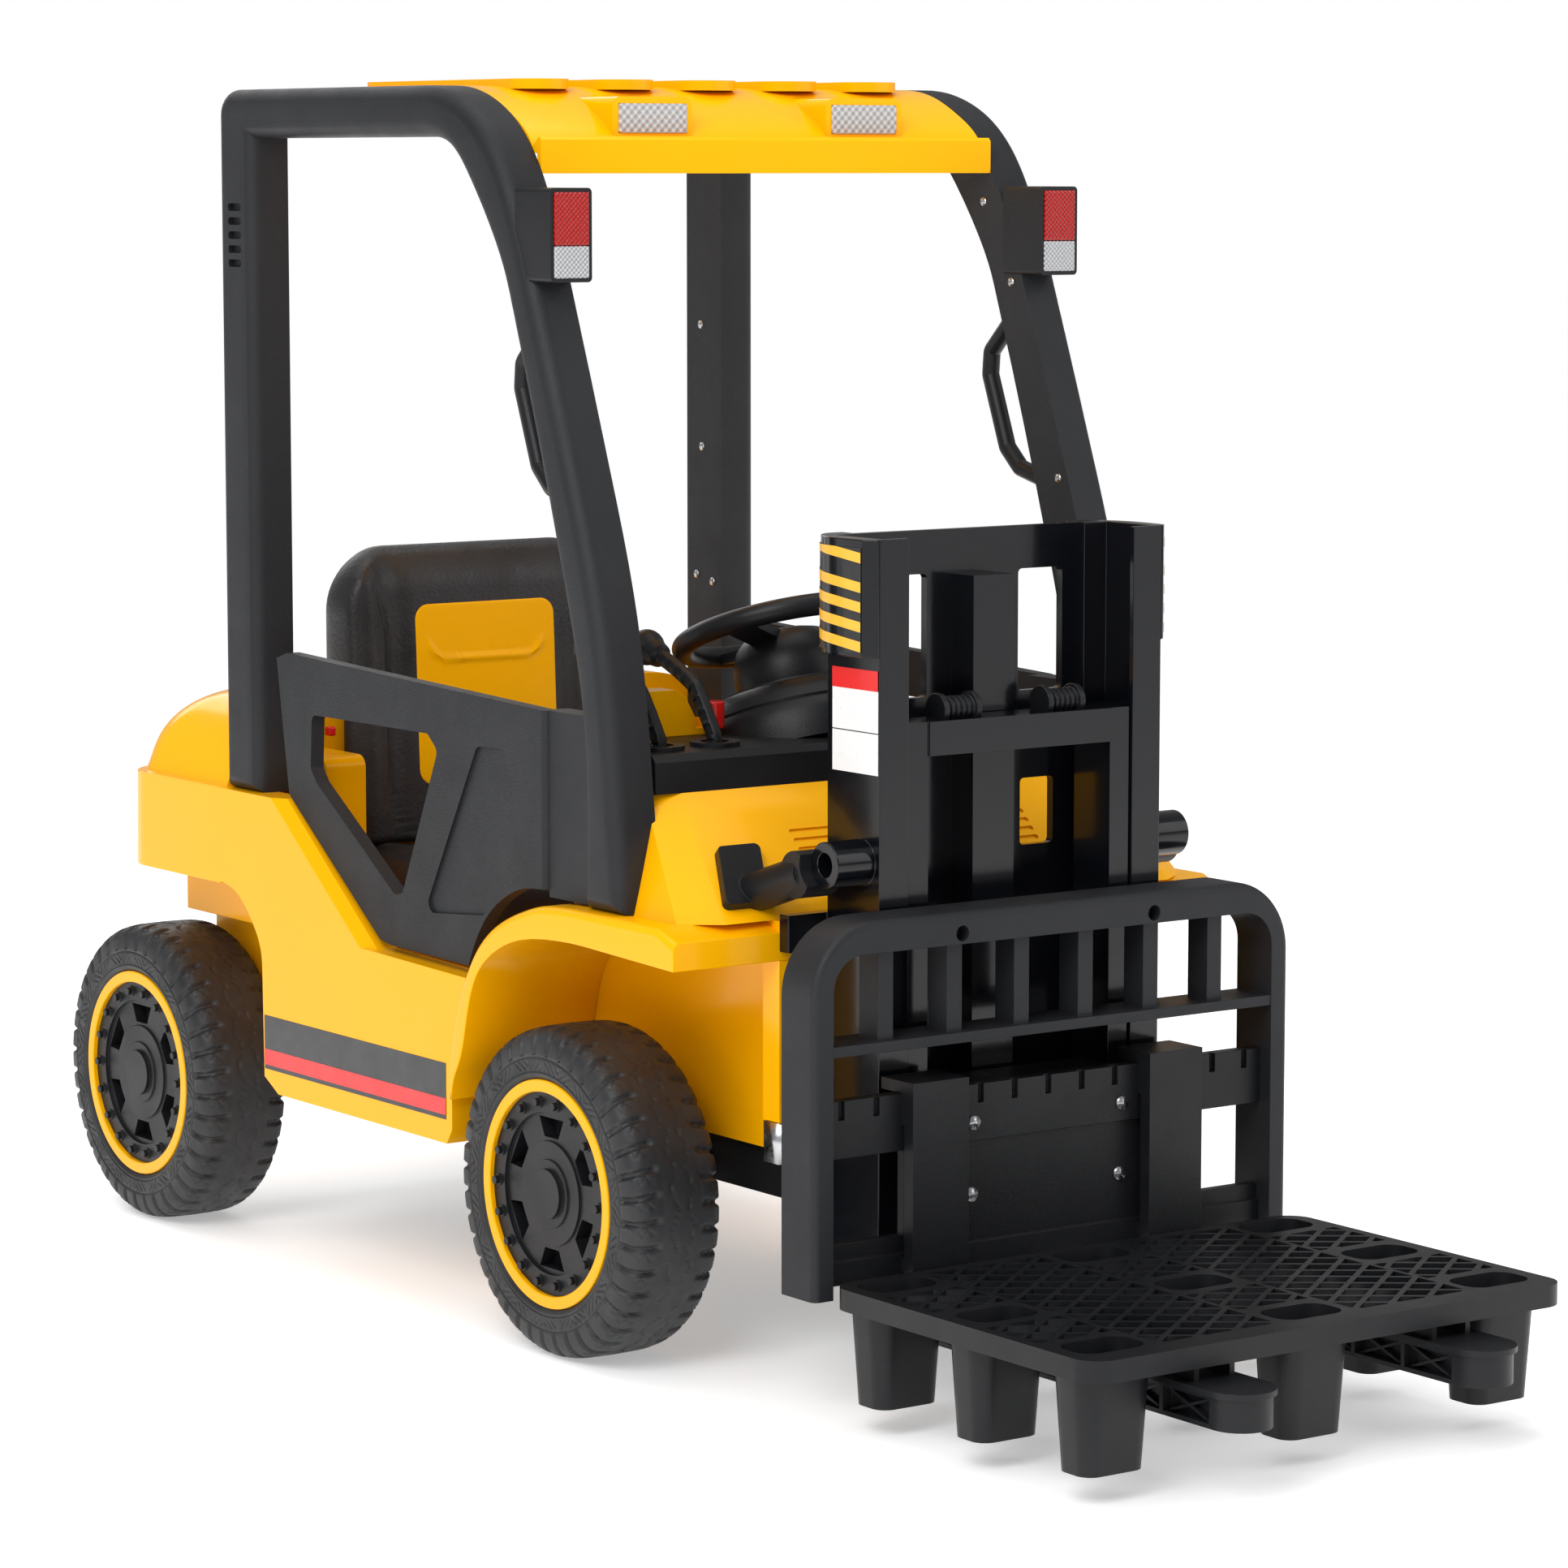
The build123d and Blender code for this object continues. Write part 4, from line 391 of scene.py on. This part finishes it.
tyre_vertices, tyre_faces = tyre_mesh()
for corner in ("front", "rear"):
    for side_name, side in SIDES:
        low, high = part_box(f"tyre_{corner}_{side_name}")
        centre = (low + high) / 2
        flip = np.array([side * -1, side * -1, 1])
        tyre = piece(f"tread_{corner}_{side_name}", tyre_vertices * flip + np.array(centre), tyre_faces, TYRE,
                     f"wheel_{corner}_{side_name}", "tyre", 40)
        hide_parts(f"tyre_{corner}_{side_name}")


# ---------------------------------------------------------------- seat
EDGE_STEPS = 12
RING_STEP = 2.4


def rounded_outline(half_width, low, high, radius_low, radius_high, inset, steps=14, spans=30):
    """Rounded rectangle, inset from its full size, as (u, v) points anticlockwise from the lower right."""
    arcs = []
    corners = ((1, low, 1, radius_low, -90), (1, high, -1, radius_high, 0), (-1, high, -1, radius_high, 90),
               (-1, low, 1, radius_low, 180))
    for sign, edge, inward, radius, start in corners:
        bend = max(radius - inset, 1.5)
        u = sign * (half_width - inset - bend)
        v = edge + inward * (inset + bend)
        turns = [math.radians(start + 90 * k / steps) for k in range(steps + 1)]
        arcs.append([(u + bend * math.cos(turn), v + bend * math.sin(turn)) for turn in turns])
    outline = []
    for arc, following in zip(arcs, arcs[1:] + arcs[:1]):
        outline += arc
        (u0, v0), (u1, v1) = arc[-1], following[0]
        outline += [(u0 + (u1 - u0) * k / spans, v0 + (v1 - v0) * k / spans) for k in range(1, spans)]
    return outline


def slab(name, outline, edge_radius, back, front, body, slot, material):
    """Closed slab: back and front are depth functions of (u, v), the edge is rolled over."""
    half_width, low, high, radius_low, radius_high = outline
    reach = min(half_width, (high - low) / 2) - 2.5
    rings = [(inset, 0.0) for inset in (reach, 0.5 * reach, edge_radius * 1.2)]
    for k in range(EDGE_STEPS + 1):
        turn = math.pi * k / EDGE_STEPS
        rings.append((edge_radius * (1 - math.sin(turn)), (1 - math.cos(turn)) / 2))
    inset = edge_radius
    while inset + RING_STEP < reach:
        inset += RING_STEP
        rings.append((inset, 1.0))
    rings.append((reach, 1.0))
    vertices = []
    for inset, share in rings:
        ring = rounded_outline(half_width, low, high, radius_low, radius_high, inset)
        for u, v in ring:
            start, end = back(u, v, inset), front(u, v, inset)
            vertices.append((u, v, start + (end - start) * share))
        columns = len(ring)
    faces = grid_faces(len(rings), columns, close_columns=True)
    faces.append(tuple(range(columns))[::-1])
    faces.append(tuple(range(len(vertices) - columns, len(vertices))))
    return piece(name, vertices, faces, material, body, slot, 50)


def place_points(made, change):
    """Move every vertex of a piece with a function of its position."""
    for vertex in made.data.vertices:
        vertex.co = change(*vertex.co)
    made.data.update()
    made.data.validate()


def piping(inset, at, height, width=3.2):
    """Raised welt with a shallow groove on both sides, on one inset line."""
    distance = abs(inset - at)
    groove = 0.8 * height * max(0.0, 1 - ((distance - 5.5) / 2.6) ** 2)
    return height * max(0.0, 1 - (distance / width) ** 2) - groove


shell_low, shell_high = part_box("seat_shell")
cushion_low, cushion_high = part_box("seat_cushion")
insert_low, insert_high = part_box("seat_insert")
SEAT_HALF = shell_high[0] / MM
BACK_FOOT, BACK_TOP = shell_low[2] / MM, shell_high[2] / MM
BACK_FACE = shell_low[1] / MM
BACK_REAR = shell_high[1] / MM
HOOD_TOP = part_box("rear_hood")[1][2] / MM
HOOD_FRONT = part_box("rear_hood")[0][1] / MM
INSERT_HALF = insert_high[0] / MM
INSERT_LOW, INSERT_HIGH = insert_low[2] / MM, insert_high[2] / MM
ROLL_START, ROLL_LENGTH, ROLL_DEPTH = 620, 42, 18.0
BACK_BOLSTER_AT, BACK_BOLSTER_WIDTH, BACK_BOLSTER_RISE = 134, 17, 8.0
SEAM_AT, SEAM_HALF, SEAM_DEPTH = 112.0, 2.6, 1.8
SEAM_LOW, SEAM_HIGH = 440, 575
CUSHION_MIDDLE = 375.0
CUSHION_SEAMS = (305, 360, 415)
CUSHION_BOLSTER_AT, CUSHION_BOLSTER_WIDTH, CUSHION_BOLSTER_RISE = 124, 18, 5.0
INSERT_RIDGES = (48, 122)


def back_rake(v):
    """Lean of the backrest at one height."""
    return 8.0 * min(1.0, (v - BACK_FOOT) / 180) + 5.0 * max(0.0, (v - 560) / 80)


def back_face(u, v, inset):
    """Front of the backrest: raked, with raised side bolsters behind a seam on each side."""
    roll = ROLL_DEPTH * max(0.0, (v - ROLL_START) / ROLL_LENGTH) ** 2
    bolster = BACK_BOLSTER_RISE * math.exp(-((abs(u) - BACK_BOLSTER_AT) / BACK_BOLSTER_WIDTH) ** 2)
    inward = 26.0 * max(0.0, (SEAM_LOW - v) / 60) ** 2
    outward = 20.0 * max(0.0, (v - SEAM_HIGH) / 60) ** 2
    seam_u = SEAM_AT - inward + outward
    seam = SEAM_DEPTH * max(0.0, 1 - ((abs(u) - seam_u) / SEAM_HALF) ** 2)
    rim = 2.0 * max(0.0, 1 - max(0.0, abs(u) - INSERT_HALF - 4) / 10)
    return BACK_FACE + 6.0 + back_rake(v) + roll - bolster + seam - rim


def back_rear(u, v, inset):
    """Back of the backrest, stepping over the hood's front edge."""
    share = min(1.0, max(0.0, (v - HOOD_TOP - 1.5) / 3.0))
    return (HOOD_FRONT - 1.5) * (1 - share) + (BACK_REAR - 1.0) * share


backrest = slab("backrest_pad", (SEAT_HALF - 0.5, BACK_FOOT, BACK_TOP, 20.0, 62.0), 9.0, back_rear, back_face,
               "vehicle", "seat_vinyl", VINYL)
place_points(backrest, lambda u, v, w: (u * MM, w * MM, v * MM))
backrest.data.flip_normals()
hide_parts("seat_shell")


def cushion_top(u, v, inset):
    """Top of the seat cushion: crowned, with side bolsters, cross seams and a welt."""
    crown = 7.0 * (1 - (u / SEAT_HALF) ** 4) * (1 - ((v - CUSHION_MIDDLE) / 140) ** 4)
    outside = (abs(u) - CUSHION_BOLSTER_AT) / CUSHION_BOLSTER_WIDTH
    bolster = CUSHION_BOLSTER_RISE * math.exp(-outside ** 2)
    inner = max(0.0, min(1.0, (104 - abs(u)) / 5))
    seams = sum(max(0.0, 1 - ((v - seam) / 4.0) ** 2) for seam in CUSHION_SEAMS) * inner * 3.0
    return cushion_high[2] / MM - 4.0 + crown + bolster + piping(inset, 26, 1.4) - seams


cushion = slab("seat_pad", (SEAT_HALF - 0.5, cushion_low[1] / MM, cushion_high[1] / MM, 26.0, 26.0), 14.0,
              lambda u, v, inset: cushion_low[2] / MM, cushion_top, "vehicle", "seat_vinyl", VINYL)
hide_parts("seat_cushion")
place_points(cushion, lambda u, v, w: (u * MM, v * MM, w * MM))


def insert_face(u, v, inset):
    """Front of the moulded insert, with two shallow ridges whose ends turn up."""
    height = 0.0
    for rise in INSERT_RIDGES:
        reach = min(1.0, max(0.0, (68 - abs(u)) / 4))
        line = INSERT_LOW + rise + 0.8 * max(0.0, abs(u) - 50)
        height += 2.2 * reach * min(1.0, max(0.0, (3.6 - abs(v - line)) / 1.6))
    return BACK_FACE + 3.4 + back_rake(v) - height


insert_piece = slab("backrest_insert", (INSERT_HALF - 0.5, INSERT_LOW, INSERT_HIGH, 16.0, 16.0), 2.4,
                    lambda u, v, inset: BACK_FACE + 10.0 + back_rake(v), insert_face,
                    "vehicle", "yellow_plastic", YELLOW_SATIN)
place_points(insert_piece, lambda u, v, w: (u * MM, w * MM, v * MM))
insert_piece.data.flip_normals()
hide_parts("seat_insert")


# ---------------------------------------------------------------- control levers
KNOB_R = 16.0
KNOB_SINK = 22.0
STEM_R = 7.0
RECESS_PITCH = 13.0
RECESS_LENGTH = 9.5
RECESS_DEPTH = 1.6
RECESS_START = 22
LEVER_REACH = 104


def lever_mesh(low, high, turns=28):
    """Lever in the (y, z) plane at its own x: recessed stem and pear-shaped knob."""
    x = (low[0] + high[0]) / 2 / MM
    knob_y, knob_z = high[1] / MM - KNOB_R, high[2] / MM - KNOB_R
    foot_y = knob_y - LEVER_REACH
    bend = [(foot_y, knob_z - 94), (foot_y, knob_z - 72), (foot_y + 5, knob_z - 62),
            (knob_y - 82, knob_z - 38), (knob_y - 70, knob_z - 26), (knob_y - 34, knob_z - 10.5),
            (knob_y, knob_z), (knob_y + KNOB_R, knob_z + 4.5)]
    line = smooth_curve(bend, 16)
    steps = np.linalg.norm(np.diff(line, axis=0), axis=1)
    travel = np.concatenate([[0], np.cumsum(steps)])
    knob_at = travel[-1] - KNOB_R
    tangent = np.gradient(line, axis=0)
    tangent /= np.linalg.norm(tangent, axis=1)[:, None]
    vertices = []
    for (y, z), (ty, tz), along in zip(line, tangent, travel):
        offset = along - knob_at
        if offset > -KNOB_SINK:
            ball = math.sqrt(max(0.0, 1 - (offset / KNOB_R) ** 2)) * KNOB_R
            neck = 10.5 + 4.0 * (offset + KNOB_SINK) / KNOB_SINK
            radius = max(ball, neck) if offset < 0 else ball
        else:
            radius = STEM_R
        on_stem = RECESS_START < along < knob_at - KNOB_SINK - 8
        in_recess = on_stem and along % RECESS_PITCH < RECESS_LENGTH
        for k in range(turns):
            turn = 2 * math.pi * k / turns
            depth = RECESS_DEPTH if in_recess and abs(math.cos(turn)) > 0.72 else 0.0
            out = max(radius - depth, 0.05)
            vertices.append(((x + out * math.cos(turn)) * MM, (y - tz * out * math.sin(turn)) * MM,
                             (z + ty * out * math.sin(turn)) * MM))
    faces = grid_faces(len(line), turns, close_columns=True)
    faces.append(tuple(range(turns)))
    return vertices, faces


for lever in ("lever_gear", "lever_lift"):
    made = piece(f"{lever}_grip", *lever_mesh(*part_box(lever)), SATIN_BLACK, lever, "black_satin", 40)
    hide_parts(lever)


# ---------------------------------------------------------------- steering hub and shroud
steer_joint = next(joint for joint in frame["joints"] if joint["name"] == "steering_wheel_turn")
steer_centre, steer_axis = Vector(steer_joint["pos_m"]), Vector(steer_joint["axis"])
HUB_PROFILE = ((0.1, -2.0), (26.0, -3.0), (36.0, -6.0), (44.0, -14.0), (49.0, -27.0), (51.0, -42.0),
               (49.0, -53.0), (44.0, -56.0))
SHROUD_PROFILE = ((54.0, -59.5), (64.0, -57.6), (73.0, -58.4), (80.0, -62.5), (86.0, -70.0),
                  (89.4, -77.5), (88.6, -79.5), (90.8, -81.5), (94.0, -92.0), (95.5, -104.0),
                  (95.0, -116.0))


def lathe(profile, turns=72):
    """Surface of (radius, offset) points turned about the steering axis."""
    leaning = steer_axis.to_track_quat("Z", "Y")
    vertices = []
    for radius, offset in profile:
        for k in range(turns):
            turn = 2 * math.pi * k / turns
            ring = Vector((radius * math.cos(turn), radius * math.sin(turn), offset)) * MM
            vertices.append(tuple(steer_centre + leaning @ ring))
    return vertices, grid_faces(len(profile), turns, close_columns=True)


piece("steering_hub", *lathe(HUB_PROFILE), SATIN_BLACK, "steering_wheel", "black_satin", 40)
piece("steering_shroud", *lathe(SHROUD_PROFILE), SATIN_BLACK, "vehicle", "black_satin", 40)


# ---------------------------------------------------------------- boxes and films
def box_mesh(boxes):
    """Vertices and faces of several closed boxes given as (low, high) corners."""
    vertices, faces = [], []
    for low, high in boxes:
        start = len(vertices)
        for z in (low[2], high[2]):
            vertices += [(low[0], low[1], z), (high[0], low[1], z)]
            vertices += [(high[0], high[1], z), (low[0], high[1], z)]
        for face in ((3, 2, 1, 0), (4, 5, 6, 7), (0, 1, 5, 4), (1, 2, 6, 5), (2, 3, 7, 6), (3, 0, 4, 7)):
            faces.append(tuple(start + k for k in face))
    return vertices, faces


def mirror_boxes(boxes):
    """The boxes together with their mirror images across the centre plane."""
    return boxes + [((-high[0], low[1], low[2]), (-low[0], high[1], high[2])) for low, high in boxes]


lamp_low, lamp_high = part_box("lamp_lenses")
LAMP_WIDTH = 35.0 * MM
LAMP_GAP = 0.0002
CLEAR_SHARE = 0.377
lamp_split = lamp_low[2] + CLEAR_SHARE * (lamp_high[2] - lamp_low[2])
for lamp_name, z0, z1, finish in (("lamp_red", lamp_split + LAMP_GAP, lamp_high[2], LENS_RED),
                                  ("lamp_clear", lamp_low[2], lamp_split - LAMP_GAP, LENS_CLEAR)):
    corners = [((lamp_low[0], lamp_low[1], z0), (lamp_low[0] + LAMP_WIDTH, lamp_high[1], z1))]
    glass = piece(lamp_name, *box_mesh(mirror_boxes(corners)), finish, "vehicle", "lens_red")
    bevel(glass, 0.0016)
    if finish is LENS_RED:
        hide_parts("lamp_lenses")

FILM = 0.0004
TOP_FILM = 1.6 * FILM
POST_SIDE = -150.0 * MM
body_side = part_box("body_shell")[0][0]
# name: material, height over the surface, then y from and to and z from and to in mm
SIDE_BAND = {
    "side_band": (FILM_BLACK, FILM, 104, 428, 184, 235),
    "side_stripe": (FILM_RED, TOP_FILM, 104, 428, 188, 203),
}
MAST_CARD = {
    "label_card": (FILM_WHITE, FILM, -350, -286, 526, 613),
    "label_header": (FILM_RED, TOP_FILM, -350, -286, 596, 613),
    "label_rule": (FILM_BLACK, TOP_FILM, -350, -286, 560.5, 561.3),
}


def side_films(films, surface, sink):
    """Flat films on both sides of the vehicle, sunk a little into the surface that they lie on."""
    for name, (finish, proud, y0, y1, z0, z1) in films.items():
        corners = [((surface - proud, y0 * MM, z0 * MM), (surface + sink, y1 * MM, z1 * MM))]
        piece(name, *box_mesh(mirror_boxes(corners)), finish, "vehicle", "black_satin")


side_films(SIDE_BAND, body_side, FILM)
side_films(MAST_CARD, POST_SIDE, 0.0)

SLEEVE_LINE = [(-128.5, -256.9), (-146, -263.6), (-159, -285), (-163, -318), (-161.4, -341)]
STRIPE_PITCH = 16.4
STRIPE_HEIGHT = 8.6
STRIPE_FALL = 12.0
STRIPES = 6
FIRST_STRIPE_RAISE = 8.0
BACKING_PROUD, STRIPE_PROUD = 0.35, 0.7
FOOT_MARGIN, HEAD_MARGIN = 4, 7


def sleeve_film(low, high, proud):
    """Film on the sleeve's outer face; low and high are heights as functions of the share along it."""
    line = smooth_curve(SLEEVE_LINE, 10)
    tangent = np.gradient(line, axis=0)
    normal = np.stack([tangent[:, 1], -tangent[:, 0]], 1)
    normal /= np.linalg.norm(normal, axis=1)[:, None]
    normal *= np.sign(normal[len(line) // 2] @ np.array([-1.0, 0.0]))
    vertices = []
    for index, (spot, out) in enumerate(zip(line, normal)):
        share = index / (len(line) - 1)
        x, y = spot + out * proud
        vertices += [(x * MM, y * MM, low(share) * MM), (x * MM, y * MM, high(share) * MM)]
    return vertices, grid_faces(len(line), 2)


def mirrored(vertices, faces):
    """A mesh together with its mirror image across the centre plane."""
    count = len(vertices)
    both = list(vertices) + [(-x, y, z) for x, y, z in vertices]
    return both, list(faces) + [tuple(count + k for k in reversed(face)) for face in faces]


sleeve_low, sleeve_high = (value[2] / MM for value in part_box("mast_sleeves"))
film_bottom, film_top = sleeve_low + FOOT_MARGIN, sleeve_high - HEAD_MARGIN


def slanted(top):
    """Height of a slanting stripe's edge at each share along the film, held within the film."""
    return lambda share: max(film_bottom, min(film_top, top - STRIPE_FALL * share))


backing = sleeve_film(lambda share: film_bottom, lambda share: film_top, BACKING_PROUD)
piece("sleeve_film", *mirrored(*backing), FILM_BLACK, "vehicle", "black_gloss")
for index in range(STRIPES):
    top = film_top - STRIPE_PITCH * index + (0 if index else FIRST_STRIPE_RAISE)
    stripe = sleeve_film(slanted(top - STRIPE_HEIGHT), slanted(top), STRIPE_PROUD)
    piece(f"sleeve_stripe_{index}", *mirrored(*stripe), FILM_YELLOW, "vehicle", "yellow_plastic")

buckle = [((-194 * MM, 470 * MM, 488 * MM), (-186 * MM, 480 * MM, 497 * MM))]
clip = piece("belt_clip", *box_mesh(buckle), RED, "vehicle", "button_red")
bevel(clip, 0.002)


# ---------------------------------------------------------------- camera, light and floor
CAMERA_PLACE = (-2.66395, -3.75481, 1.02727)
CAMERA_YAW, CAMERA_PITCH = -0.6176, -0.1194
SENSOR_WIDTH, LENS = 36.0, 118.24


def look(name, location, yaw, pitch):
    """Camera at a place, turned to a heading and tilt."""
    forward = Vector((-math.sin(yaw) * math.cos(pitch), math.cos(yaw) * math.cos(pitch), math.sin(pitch)))
    data = bpy.data.cameras.new(name)
    made = bpy.data.objects.new(name, data)
    bpy.context.scene.collection.objects.link(made)
    made.location = location
    made.rotation_euler = forward.to_track_quat("-Z", "Y").to_euler()
    return made


camera = look("camera", CAMERA_PLACE, CAMERA_YAW, CAMERA_PITCH)
camera.data.sensor_width = SENSOR_WIDTH
camera.data.lens = LENS
camera.data.clip_end = 60.0
bpy.context.scene.camera = camera


def softbox(name, location, target, size, power):
    """Rectangular studio light aimed at a point."""
    data = bpy.data.lights.new(name, "AREA")
    data.shape = "RECTANGLE"
    data.size, data.size_y = size
    data.energy = power
    made = bpy.data.objects.new(name, data)
    bpy.context.scene.collection.objects.link(made)
    made.location = location
    made.rotation_euler = (Vector(target) - Vector(location)).to_track_quat("-Z", "Y").to_euler()


softbox("key", (-2.8, -1.8, 3.0), (0, 0, 0.4), (2.0, 2.0), 80)
softbox("fill", (2.8, -2.6, 2.2), (0, 0, 0.4), (2.4, 2.4), 25)
softbox("top", (0.0, 0.4, 3.6), (0, 0.1, 0.0), (3.0, 3.0), 40)
softbox("back", (0.6, 3.6, 2.2), (0, 0, 0.6), (2.4, 1.8), 25)

AMBIENT, BACKGROUND, MIRRORED = 0.78, 1.0, 0.28
world = bpy.data.worlds.new("studio")
world.use_nodes = True
backdrop = world.node_tree.nodes["Background"]
backdrop.inputs["Color"].default_value = (1.0, 1.0, 1.0, 1)
ray = world.node_tree.nodes.new("ShaderNodeLightPath")
seen, reflected = (world.node_tree.nodes.new("ShaderNodeMapRange") for _ in range(2))
seen.inputs["To Min"].default_value = AMBIENT
seen.inputs["To Max"].default_value = BACKGROUND
reflected.inputs["To Max"].default_value = MIRRORED
for source, socket in ((ray.outputs["Is Camera Ray"], seen.inputs["Value"]),
                       (seen.outputs["Result"], reflected.inputs["To Min"]),
                       (ray.outputs["Is Glossy Ray"], reflected.inputs["Value"]),
                       (reflected.outputs["Result"], backdrop.inputs["Strength"])):
    world.node_tree.links.new(source, socket)
bpy.context.scene.world = world

REACH = 30
FLOOR_GLOW = 0.36
floor_mesh = bpy.data.meshes.new("floor")
floor_corners = [(-REACH, -REACH, 0), (REACH, -REACH, 0), (REACH, REACH, 0), (-REACH, REACH, 0)]
floor_mesh.from_pydata(floor_corners, [], [(0, 1, 2, 3)])
floor_surface = Surface("floor", (0.9, 0.9, 0.9), 0.7, Emission_Color=(1, 1, 1, 1),
                        Emission_Strength=FLOOR_GLOW)
floor_mesh.materials.append(floor_surface.material)
floor = bpy.data.objects.new("floor", floor_mesh)
bpy.context.scene.collection.objects.link(floor)
bpy.context.scene.view_settings.view_transform = "Standard"
